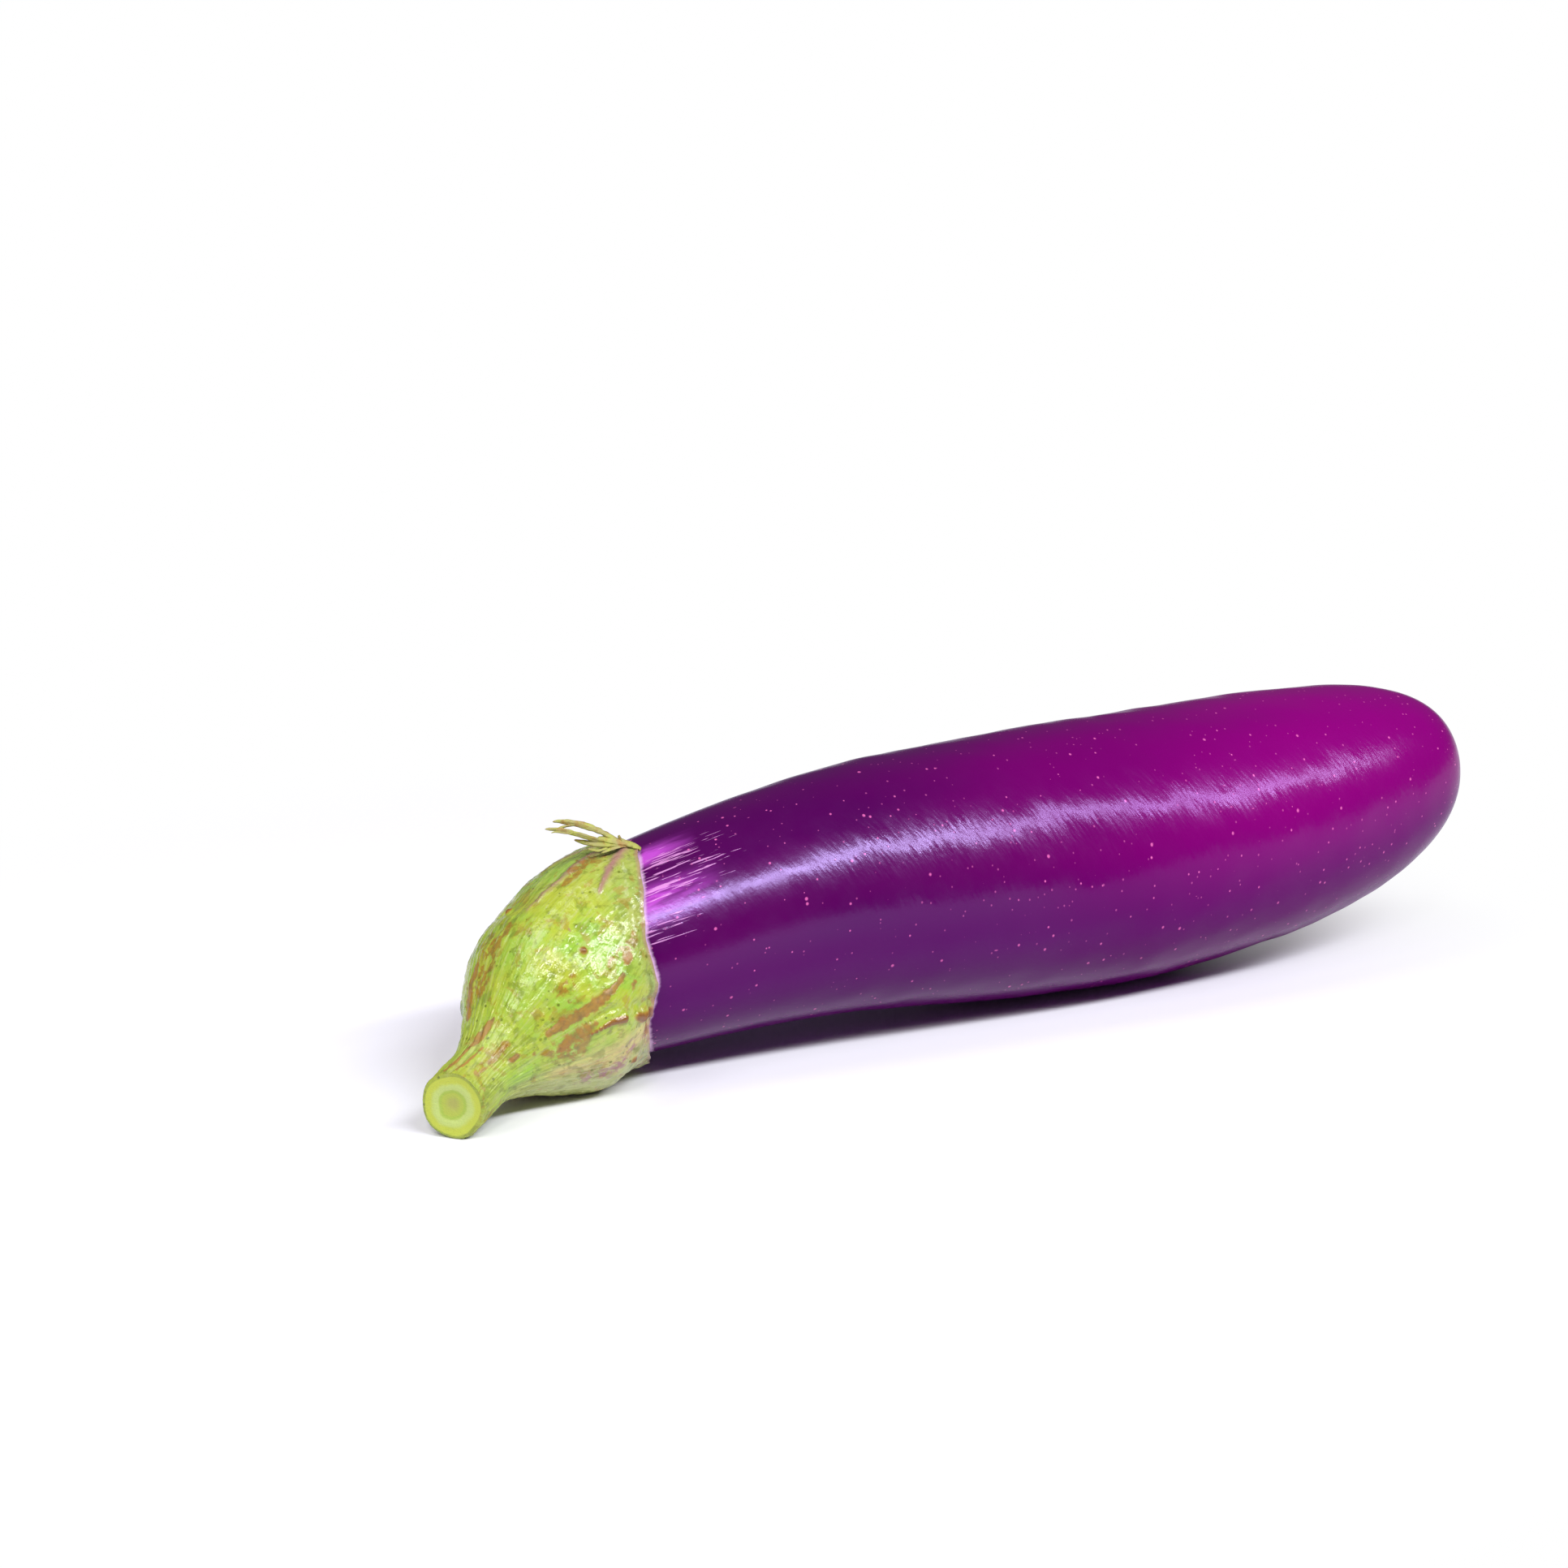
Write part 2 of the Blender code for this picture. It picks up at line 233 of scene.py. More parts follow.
RIDGES = (
    (((0.30, 90, 0.0005), (0.25, 88, 0.0009), (0.16, 92, 0.0009), (0.06, 98, 0.0007)), 1.0),
    (((0.36, 64, 0.0004), (0.26, 62, 0.0008), (0.12, 66, 0.0006)), 0.5),
    (((0.37, 16, 0.0005), (0.28, 8, 0.0009), (0.20, 358, 0.0010), (0.05, 348, 0.0008)), 0.9),
    (((0.40, 350, 0.0005), (0.28, 340, 0.0010), (0.12, 332, 0.0008)), 0.8),
    (((0.38, 40, 0.0004), (0.50, 55, 0.0009), (0.62, 74, 0.0007), (0.72, 84, 0.0004)), 0.5),
    (((0.34, 150, 0.0005), (0.24, 156, 0.0009), (0.08, 160, 0.0007)), 0.8),
    (((0.36, 210, 0.0005), (0.24, 216, 0.0010), (0.08, 222, 0.0007)), 0.9),
    (((0.36, 268, 0.0005), (0.24, 276, 0.0010), (0.08, 284, 0.0007)), 0.8),
)

# For each kind of mark: its paths, how ragged its edge is, and the seed of that edge
MARK_KINDS = {
    "corky": (CORKY_MARKS, 0.22, 21),
    "scuff": (SCUFFS, 0.40, 26),
    "pink": (PINK_CREASES, 0.30, 31),
    "fold": (FOLDS, 0.12, 41),
    "dull": (DULL_PLACES, 0.35, 46),
    "bruise": (BRUISES, 0.45, 51),
    "ridge": (RIDGES, 0.25, 56),
}

# Dried end of the top lobe: half width, thickness share, twist in degrees, places that it runs through
DRIED_BLADES = (
    (0.00095, 0.50, 30, ((0.0034, -0.0026, 0.0391), (0.0012, -0.0021, 0.0404), (-0.0014, -0.0014, 0.0411),
                         (-0.0036, -0.0006, 0.0417))),
    (0.00058, 0.75, 100, ((-0.0004, -0.0016, 0.0410), (-0.0034, -0.0002, 0.0428), (-0.0070, 0.0010, 0.0443),
                          (-0.0109, 0.0016, 0.0449))),
    (0.00054, 0.75, -90, ((-0.0012, -0.0016, 0.0408), (-0.0052, -0.0013, 0.0420), (-0.0092, -0.0009, 0.0436),
                          (-0.0130, 0.0000, 0.0443))),
    (0.00052, 0.70, 90, ((-0.0002, -0.0021, 0.0403), (-0.0030, -0.0019, 0.0406), (-0.0055, -0.0010, 0.0411),
                         (-0.0077, 0.0000, 0.0417))),
    (0.00024, 0.80, 60, ((-0.0058, 0.0006, 0.0438), (-0.0080, 0.0010, 0.0440), (-0.0098, 0.0010, 0.0438),
                         (-0.0110, 0.0006, 0.0435))),
    (0.00022, 0.80, -60, ((-0.0082, -0.0011, 0.0432), (-0.0100, -0.0014, 0.0436), (-0.0114, -0.0015, 0.0440),
                          (-0.0125, -0.0016, 0.0440))),
    (0.00034, 0.70, 40, ((0.0010, -0.0020, 0.0402), (0.0004, -0.0018, 0.0409), (-0.0001, -0.0019, 0.0415),
                         (-0.0002, -0.0021, 0.0421))),
    (0.00026, 0.70, 50, ((-0.0022, -0.0020, 0.0403), (-0.0037, -0.0024, 0.0400), (-0.0050, -0.0023, 0.0401),
                         (-0.0060, -0.0020, 0.0405))),
    (0.00040, 0.55, 20, ((0.0010, -0.0024, 0.0400), (-0.0008, -0.0028, 0.0402), (-0.0024, -0.0029, 0.0400),
                         (-0.0040, -0.0028, 0.0396))),
)
BLADE_RINGS = 48
BLADE_SIDES = 16
BLADE_RAGGED = 0.16

# Pale skin by the calyx: angle, half width in degrees, how far it reaches along the fruit
STREAK_FANS = (
    (60, 36, 0.031),
    (28, 24, 0.017),
    (150, 40, 0.026),
    (232, 45, 0.024),
    (318, 24, 0.005),
)
# Glows of paler violet by the calyx: angle, half width in degrees, how far it reaches along the fruit. The
# strongest, at 44 degrees, is in part a painted highlight where the long highlight begins.
GLOWS = (
    (44, 16, 0.0150),
    (76, 12, 0.0110),
    (142, 22, 0.0080),
    (208, 18, 0.0060),
    (262, 20, 0.0080),
)
BUMP_DISTANCE = 0.001

# Stage
FLOOR_HALF = 12.0
# Where the camera sees white: the centre lies toward the stalk, so the white also paints out much of the
# shadow by the blossom end, as painted light.
FLOOR_LIT_CENTRE = (-0.06, 0.0, 0.0)
FLOOR_LIT_NEAR = 0.10
FLOOR_LIT_FAR = 0.20
CAMERA_PLACE = (-0.27245, -0.45123, 0.19240)
CAMERA_BACK = (-0.44714, -0.85093, 0.27564)
CAMERA_LENS = 70.0
CAMERA_SENSOR = 36.0
NEAREST_SEEN = 0.01
ROOM_TINT = (0.80, 0.55, 1.0, 1.0)
WHITE = (1.0, 1.0, 1.0, 1.0)

# Lights: name, setting that holds the power, place, target, way of the long side, size, tint
LIGHTS = (
    ("long_light", "long_power", (0.63, -0.755, 0.98), (0.63, 0.0, 0.02), (1, 0, 0), (1.56, 0.16),
     (0.93, 0.95, 1.0)),
    ("front_light", "front_power", (-0.68, -0.93, 1.2), (0.0, 0.0, 0.0), (1, 0, 0), (0.32, 0.32),
     (1.0, 0.99, 0.96)),
    ("left_light", "left_power", (-1.0, -0.45, 0.8), (-0.1, 0.0, 0.0), (0, 1, 0), (0.42, 0.42),
     (1.0, 0.99, 0.96)),
    ("top_light", "top_power", (-0.70, 0.30, 1.38), (0.0, 0.0, 0.0), (1, 0, 0), (1.0, 0.8),
     (0.97, 0.97, 1.0)),
)


def colour(name, text, value):
    """A colour that the sidebar shows."""
    return bpy.props.FloatVectorProperty(
        name=name, description=text, default=(*value, 1.0), size=4, min=0.0, max=1.0, subtype="COLOR"
    )


def length(name, text, value):
    """A length in metres that the sidebar shows."""
    return bpy.props.FloatProperty(
        name=name, description=text, default=value, min=0.0, precision=5, subtype="DISTANCE", unit="LENGTH"
    )


def amount(name, text, value):
    """A plain number that the sidebar shows."""
    return bpy.props.FloatProperty(name=name, description=text, default=value, min=0.0)


class EggplantFruitSettings(bpy.types.PropertyGroup):
    widest_radius: length("Widest radius", "Radius of the fruit where it is thickest", 0.025)
    margin_radius: length("Neck radius", "Radius of the fruit where the calyx ends", 0.01775)
    flat_depth: length("Flat place", "Depth of the broad flat place on top, halfway along", 0.0006)
    swell_depth: length("Swell", "Depth of the long soft swells round the fruit", 0.00022)
    dimple_depth: length("Dimples", "Depth of the small soft unevenness of the skin", 0.00013)
    grain_depth: length("Skin grain", "Depth of the finest grain of the skin", 0.000014)
    fray_depth: length("Skin fray", "Depth of the fine lines that fray the reflections", 0.00006)
    fray_lean: amount("Fray lean", "How far the fine lines lean the reflections round the fruit", 0.26)
    # Deep to bright runs along the fruit: in part the skin's own ripening colour, in part painted shade that
    # keeps the neck end darker.
    deep: colour("Deep skin", "Darkest violet of the skin", (0.055, 0.0, 0.058))
    bright: colour("Bright skin", "Magenta violet of the skin", (0.172, 0.0, 0.121))
    # Painted shade and painted reflection: the low side's skin is darker and bluer, as its shade and the
    # floor's reflection make it.
    shade: colour("Low side", "Bluer violet of the lower side", (0.080, 0.0, 0.094))
    # Also a painted highlight: the glow where the long highlight begins by the calyx.
    neck: colour("Young skin", "Paler violet where the calyx has just let go", (0.42, 0.06, 0.47))
    streak: colour("Streaks", "Pale pink of the streaks", (0.66, 0.28, 0.60))
    edge: colour("Edge", "Palest skin, just out of the calyx", (0.72, 0.46, 0.70))
    young_shine: colour("Shine by the calyx", "Tint of the reflections near the calyx", (0.64, 0.50, 1.0))
    ripe_shine: colour("Shine of the belly", "Tint of the reflections on the ripe skin", (0.60, 0.34, 1.0))
    fleck: colour("Flecks", "Pink of the small flecks", (0.78, 0.14, 0.43))
    cork: colour("Blossom scar", "Tan of the corky scar at the blossom end", (0.46, 0.24, 0.20))


class EggplantCalyxSettings(bpy.types.PropertyGroup):
    stalk_radius: length("Stalk radius", "Radius of the cut stalk", 0.0056)
    bulb_radius: length("Calyx radius", "Radius of the calyx's bulb before it flares", 0.0157)
    margin_wall: length("Margin wall", "Thickness of the calyx at its edge", 0.0011)
    lift: length("Lobe lift", "How far the tips of the lobes stand off the fruit", 0.0007)
    rib_depth: length("Fine ribs", "Depth of the fine lengthwise ribs", 0.00007)
    lump_depth: length("Lumps", "Depth of the small lumps of the calyx", 0.00009)
    crease_depth: length("Creases", "Depth of the creases that run to the lobes", 0.00042)
    ridge_height: length("Ridge height", "Height of the raised lengthwise ridges on the stalk", 0.00028)
    margin_wiggle: length("Margin wiggle", "Depth of the small waves along the calyx's margin", 0.00016)
    lime: colour("Lime", "Bright green of the bulb", (0.25, 0.42, 0.046))
    yellow: colour("Yellow green", "Yellower green of the shoulders and the stalk", (0.355, 0.41, 0.036))
    pale: colour("Pale green", "Greyer green of the underside", (0.39, 0.42, 0.15))
    olive: colour("Olive", "Dark green of the specks and mottles", (0.10, 0.125, 0.010))
    straw: colour("Straw", "Tan green of the dried threads", (0.31, 0.28, 0.095))
    # Also paints the shadow line along the middle of each fold.
    bark: colour("Bark", "Darkest brown inside the corky scars", (0.17, 0.065, 0.02))
    corky: colour("Cork", "Brown of the corky scars", (0.29, 0.118, 0.018))
    pink: colour("Pink", "Pinkish violet in the creases and bruises", (0.30, 0.115, 0.145))
    dull: colour("Dull places", "Tan of the lobes below the folds", (0.56, 0.45, 0.17))
    cut_rim: colour("Cut rim", "Yellow green of the outer zone of the cut face", (0.43, 0.48, 0.045))
    flesh: colour("Cut flesh", "Pale green of the cut face", (0.43, 0.52, 0.145))


class EggplantStageSettings(bpy.types.PropertyGroup):
    long_power: amount("Long light", "Power of the long soft light over the fruit, in watts", 24.0)
    front_power: amount("Front light", "Power of the soft light in front, in watts", 9.5)
    left_power: amount("Left light", "Power of the soft light before the cut stalk, in watts", 5.0)
    top_power: amount("Top light", "Power of the soft light overhead, in watts", 10.5)
    sky: amount("Room light", "Strength of the even light from all round", 0.10)
    floor: colour("Floor", "White of the floor", (0.85, 0.85, 0.89))


def smooth_step(t):
    """0 to 1 with level ends."""
    t = np.clip(t, 0.0, 1.0)
    return t * t * (3.0 - 2.0 * t)


def pressed(z):
    """Heights near the surface sink by the press depth, and nothing goes below the surface."""
    sunk = z - PRESS_DEPTH * (1.0 - smooth_step(z / PRESS_REACH))
    return np.maximum(sunk, 0.0)


def waves(points, wavelength, seed, count=14):
    """Sum of sine waves in drawn directions, each near one wavelength long; mostly between -1 and 1."""
    draw = np.random.default_rng(seed)
    ways = draw.normal(size=(count, 3))
    ways /= np.linalg.norm(ways, axis=1, keepdims=True)
    lengths = wavelength * draw.uniform(0.7, 1.4, (count, 1))
    phases = draw.uniform(0.0, 2.0 * math.pi, count)
    turns = points @ (ways * 2.0 * math.pi / lengths).T + phases
    return np.sin(turns).sum(axis=-1) / math.sqrt(2.0 * count)


def fruit_radius(x, widest, margin):
    """The neck widens as a power of the way from the widest place, and each end is rounded off."""
    to_neck = np.clip((WIDEST_X - x) / WIDEST_X, 0.0, 2.0)
    neck = widest - (widest - margin) * to_neck**NECK_POWER
    to_bud = np.clip((SHOULDER_X - x) / (SHOULDER_X - BUD_END_X), 0.0, 1.0)
    neck = neck * (1.0 - to_bud**SHOULDER_POWER) ** (1.0 / SHOULDER_POWER)
    to_blossom = np.clip((x - WIDEST_X) / (BLOSSOM_END_X - WIDEST_X), 0.0, 1.0)
    round_end = (1.0 - to_blossom**BLOSSOM_POWER_ALONG) ** (1.0 / BLOSSOM_POWER_ACROSS)
    return np.where(x > WIDEST_X, widest * round_end, neck)


def fruit_height(x):
    """Height of the middle line: a drooping neck, an arch before the belly, a rising blossom end."""
    to_neck = np.clip((WIDEST_X - x) / WIDEST_X, 0.0, 2.0)
    to_blossom = np.clip((x - WIDEST_X) / (BLOSSOM_END_X - WIDEST_X), 0.0, 1.0)
    arch = BACK_ARCH * np.exp(-(((x - BACK_ARCH_X) / BACK_ARCH_LENGTH) ** 2))
    rise = BLOSSOM_RISE * to_blossom**BLOSSOM_RISE_POWER
    return WIDEST_HEIGHT + rise - NECK_DROP * to_neck**NECK_DROP_POWER + arch


def degrees_away(around, angle):
    """How far places round the fruit are from an angle, the short way, in degrees."""
    return np.abs((np.degrees(around) - angle + 180.0) % 360.0 - 180.0)


def underside(around):
    """0 over most of the calyx, going over to 1 below."""
    return smooth_step((-np.sin(around) - UNDERSIDE_EDGE) / UNDERSIDE_FADE)


def margin_x(around):
    """Where the calyx ends: five lobes whose edges are concave, with shallow sinuses between them."""
    reach = np.zeros_like(around)
    for angle, length_x, half_width in LOBES:
        away = degrees_away(around, angle)
        lobe = length_x * np.clip(1.0 - away / half_width, 0.0, 1.0) ** LOBE_POWER
        reach = np.maximum(reach, lobe)
    return SINUS_X + reach


def fans(around, past, marks):
    """1 at the margin, fading to 0 at each mark's reach, and falling off to its sides as a cosine."""
    strongest = np.zeros_like(around)
    for angle, half_width, reach in marks:
        away = degrees_away(around, angle)
        side = 0.5 + 0.5 * np.cos(math.pi * np.clip(away / half_width, 0.0, 1.0))
        strongest = np.maximum(strongest, side * np.clip(1.0 - past / reach, 0.0, 1.0))
    return strongest


def fruit_points(sizes):
    """Circles round the middle line, closest together at both ends, and pressed flat where they rest.

    The radius carries long swells and small dimples. On top it loses a flat place, a cosine
    round the fruit by a bell along it. The blossom end sinks by a bell round its middle.
    """
    along = np.linspace(0.0, 1.0, FRUIT_RINGS + 1)[:, None]
    around = np.linspace(0.0, 2.0 * math.pi, FRUIT_SEGMENTS, endpoint=False)[None, :]
    along, around = np.broadcast_arrays(along, around)
    x = BUD_END_X + (BLOSSOM_END_X - BUD_END_X) * (1.0 - np.cos(math.pi * along)) / 2.0
    radius = fruit_radius(x, sizes.widest_radius, sizes.margin_radius)
    bare = smooth_step((x - SWELL_START_X) / (SWELL_FULL_X - SWELL_START_X))
    fullness = (radius / sizes.widest_radius) ** 2
    swell = sum(np.sin(count * around + turn * x) for count, turn in SWELL_WAVES)
    round_points = np.stack([x, -radius * np.cos(around), radius * np.sin(around)], axis=-1)
    dimples = waves(round_points, WIDE_DIMPLES, 4) + 0.5 * waves(round_points, SMALL_DIMPLES, 5)
    radius = radius + (sizes.swell_depth * swell + sizes.dimple_depth * dimples) * bare * fullness
    away = np.clip(np.abs(np.degrees(around) - FLAT_ANGLE) / FLAT_HALF_ANGLE, 0.0, 1.0)
    flat = (0.5 + 0.5 * np.cos(math.pi * away)) * np.exp(-(((x - FLAT_X) / FLAT_LENGTH) ** 2))
    radius = radius - sizes.flat_depth * flat
    scar = SCAR_DEPTH * np.exp(-((radius / SCAR_RADIUS) ** 2)) * (along > 0.5)
    height = fruit_height(x) + radius * np.sin(around)
    points = np.stack([x - scar, -radius * np.cos(around), pressed(height)], axis=-1)
    facts, vectors = skin_facts(x, around, np.where(along > 0.5, radius, 1.0))
    return points, facts, vectors


def skin_facts(x, around, from_scar):
    """What the skin's finish reads: ways from the margin and the scar, ripening with painted shade at the
    neck end, the low side with its painted shade, and the fray.

    The two sets of coordinates lie on an even rod, so that no pattern is stretched where the
    fruit swells. The slanted ones are shifted along it by a sine of the angle.
    """
    past = x - margin_x(around)
    frayed = smooth_step(1.0 - np.abs(np.degrees(around) - FRAY_MIDDLE) / FRAY_HALF_WIDTH)
    past_neck = smooth_step((x - FRAY_START_X) / FRAY_LENGTH)
    skin = np.stack([x, -ROD_RADIUS * np.cos(around), ROD_RADIUS * np.sin(around)], axis=-1)
    slanted = skin.copy()
    slanted[..., 0] += SLANT * ROD_RADIUS * np.sin(around - math.radians(FRAY_MIDDLE))
    facts = {
        "past_margin": past,
        "streaky": fans(around, past, STREAK_FANS),
        "glow": fans(around, past, GLOWS),
        "from_scar": from_scar,
        # Painted shade in part: low at the neck end, whose skin is kept darker, rising along the fruit; it
        # also sets the gloss and its tint.
        "ripeness": smooth_step((x - RIPE_AND_LIT_START_X) / RIPE_AND_LIT_LENGTH),
        # The low side: its colour gets painted shade, darker and bluer, and its gloss falls.
        "low_side": 1.0 - smooth_step((np.sin(around) - LOW_SIDE_EDGE) / LOW_SIDE_FADE),
        "frayed": frayed * (FRAY_AT_NECK + (1.0 - FRAY_AT_NECK) * past_neck),
    }
    return facts, {"skin": skin, "slanted": slanted}


def stalk_line(t):
    """Middle line of the stalk and the calyx, one cubic curve, and the way its sections face."""
    t = t[..., None]
    a, b, c, d = (np.array(p) for p in (CUT_CENTRE, CUT_HANDLE, MARGIN_HANDLE, MARGIN_CENTRE))
    s = 1.0 - t
    place = a * s**3 + 3.0 * b * t * s**2 + 3.0 * c * t**2 * s + d * t**3
    way = 3.0 * ((b - a) * s**2 + 2.0 * (c - b) * t * s + (d - c) * t**2)
    way /= np.linalg.norm(way, axis=-1, keepdims=True)
    turn = smooth_step((t - TURN_START) / (TURN_END - TURN_START))
    way = way + (np.array((1.0, 0.0, 0.0)) - way) * turn
    return place, way / np.linalg.norm(way, axis=-1, keepdims=True)


def round_stalk(t, radius, around):
    """Points on the section at t, at an angle from the near side over the top."""
    place, way = stalk_line(t)
    side = np.cross(way, (0.0, 0.0, 1.0))
    side /= np.linalg.norm(side, axis=-1, keepdims=True)
    rise = np.cross(side, way)
    return place + radius[..., None] * (np.cos(around)[..., None] * side + np.sin(around)[..., None] * rise)


def stalk_radius(t, around, sizes):
    """Ribbed stalk that swells into the calyx's bulb and flares a little at the margin."""
    ribs = STALK_RIB_DEPTH * np.cos(STALK_RIBS * around) + STALK_OVAL_DEPTH * np.sin(2.0 * around)
    bulb = smooth_step((t - BULB_START) / (BULB_FULL - BULB_START))
    folds = CAP_FOLD_DEPTH * bulb * np.cos(STALK_RIBS * around - CAP_FOLD_ANGLE)
    flare = MARGIN_FLARE * t**MARGIN_FLARE_POWER
    swell = (sizes.bulb_radius - sizes.stalk_radius) * bulb
    return sizes.stalk_radius + ribs * (1.0 - bulb) + swell + flare + folds


def outer_calyx(t, around, sizes, fruit):
    """The bulb drawn out to the lobes, and pressed onto the fruit near the margin."""
    points = round_stalk(t, stalk_radius(t, around, sizes), around)
    hug = smooth_step((t - HUG_START) / (1.0 - HUG_START))
    points[..., 0] += margin_x(around) * hug
    middle = np.stack([np.zeros_like(t), fruit_height(points[..., 0])], axis=-1)
    offset = points[..., 1:] - middle
    distance = np.linalg.norm(offset, axis=-1)
    wall = FRUIT_GAP + sizes.margin_wall
    least = fruit_radius(points[..., 0] + wall, fruit.widest_radius, fruit.margin_radius) + wall
    cover = (distance + least + np.hypot(distance - least, SOFTEN)) / 2.0
    snug = fruit_radius(points[..., 0], fruit.widest_radius, fruit.margin_radius) + wall
    wanted = cover + (snug - cover) * hug**2
    points[..., 1:] = middle + offset * (wanted / distance)[..., None]
    return points


def inner_calyx(v, around, fruit):
    """The hollow that the fruit's end fills, from the margin to the end of the bud."""
    edge = margin_x(around)
    pole = BUD_END_X - FRUIT_GAP
    x = pole + (edge - pole) * (1.0 - np.sin(v * math.pi / 2.0))
    radius = fruit_radius(x + FRUIT_GAP, fruit.widest_radius, fruit.margin_radius) + FRUIT_GAP
    radius = np.where(v < 1.0, radius, 0.0)
    height = fruit_height(x) + radius * np.sin(around)
    return np.stack([x, -radius * np.cos(around), height], axis=-1)


def marked(points, marks, ragged, seed, sizes, fruit):
    """How strongly each point lies on a mark: 1 on its path, fading to 0 at a ragged half width.

    A path's places are joined in share, angle and half width, and carried to the calyx.
    """
    edge = 1.0 + ragged * waves(points, MARK_EDGE_WAVE, seed)
    edge = edge + 0.6 * ragged * waves(points, FINE_MARK_EDGE_WAVE, seed + 1)
    strongest = np.zeros(points.shape[:-1])
    for places, strength in marks:
        shares, angles, half_widths = np.array(places).T
        steps = np.linspace(0.0, 1.0, MARK_STEPS)
        stops = np.linspace(0.0, 1.0, len(places))
        t = np.interp(steps, stops, shares)
        around = np.radians(np.interp(steps, stops, angles))
        widths = np.interp(steps, stops, half_widths)
        path = outer_calyx(t, around, sizes, fruit)
        nearest = np.full(points.shape[:-1], 1e9)
        for place, width in zip(path, widths):
            nearest = np.minimum(nearest, np.linalg.norm(points - place, axis=-1) / width)
        strongest = np.maximum(strongest, strength * (1.0 - smooth_step(nearest * edge)))
    return strongest


def grid_normals(points):
    """Unit normals of a grid whose columns wrap round: the cross product of its two steps."""
    down = np.gradient(points, axis=0)
    across = np.roll(points, -1, axis=1) - np.roll(points, 1, axis=1)
    normal = np.cross(across, down)
    return normal / np.maximum(np.linalg.norm(normal, axis=-1, keepdims=True), 1e-12)


def calyx_relief(outer, t, around, rod, before_margin, marks, sizes):
    """How far the outside moves along its normals.

    Fine lengthwise ribs, lumps and pits are sums of waves. Creases, folds and cork sink, ridges
    and a lip beside each fold rise. At the margin a rim rises and a groove before it sinks.
    """
    bulb = smooth_step((t - BULB_START) / (BULB_FULL - BULB_START))
    ribs = sizes.rib_depth * (waves(rod, RIB_WAVE, 8, 20) + 0.6 * waves(rod, FINE_RIB_WAVE, 9, 20))
    ribs = ribs * (1.0 - 0.35 * bulb) * (1.0 + 0.8 * underside(around))
    lumps = sizes.lump_depth * (waves(outer, LUMP_WAVE, 10) + 0.55 * waves(outer, SMALL_LUMP_WAVE, 11))
    lumps = lumps * (0.5 + 0.5 * bulb)
    pits = PIT_DEPTH * waves(outer, PIT_WAVE, 12, 20)
    rim = RIM_HEIGHT * np.exp(-((before_margin / RIM_WIDTH) ** 2))
    rim = rim - RIM_HEIGHT * np.exp(-(((before_margin - GROOVE_PLACE) / GROOVE_WIDTH) ** 2)) * (t > 0.6)
    sunk = -sizes.crease_depth * (marks["pink"] * 0.9 + marks["fold"] * 1.5) - CORK_DEPTH * marks["corky"]
    sunk = sunk + sizes.ridge_height * marks["ridge"]
    lips = np.roll(marks["fold"], FOLD_LIP_COLUMNS, axis=1) * 1.2 * sizes.crease_depth
    return (ribs + lumps + pits + sunk + lips) * smooth_step(t / 0.03) + rim


def lobe_lift(around, sizes):
    """How far the far side's lobes stand off the fruit: the third power of their reach."""
    reach = (margin_x(around) - SINUS_X) / max(lobe[1] for lobe in LOBES)
    degrees = np.degrees(around)
    begins = smooth_step((degrees - FAR_SIDE_START) / FAR_SIDE_FADE)
    ends = 1.0 - smooth_step((degrees - FAR_SIDE_END) / FAR_SIDE_FADE)
    return sizes.lift * reach**3 * (begins * ends)


def cut_face(edge, around):
    """A shallow dish inside the stalk's first section, with a raised ring and a sunken pith."""
    share = np.linspace(0.0, 1.0, FACE_RINGS + 1)[:-1, None]
    share, _ = np.broadcast_arrays(share, around)
    centre, way = stalk_line(np.zeros(1))
    face = centre[0] + (edge - centre[0]) * share[..., None]
    dish = DISH_DEPTH * (1.0 - share**2) - RING_HEIGHT * np.exp(-(((share - RING_PLACE) / RING_WIDTH) ** 2))
    dish = dish + PITH_DEPTH * np.exp(-((share / PITH_WIDTH) ** 2)) + FACE_GRAIN * waves(face, FACE_WAVE, 61)
    return face + way[0] * (dish * (1.0 - share**6))[..., None], share


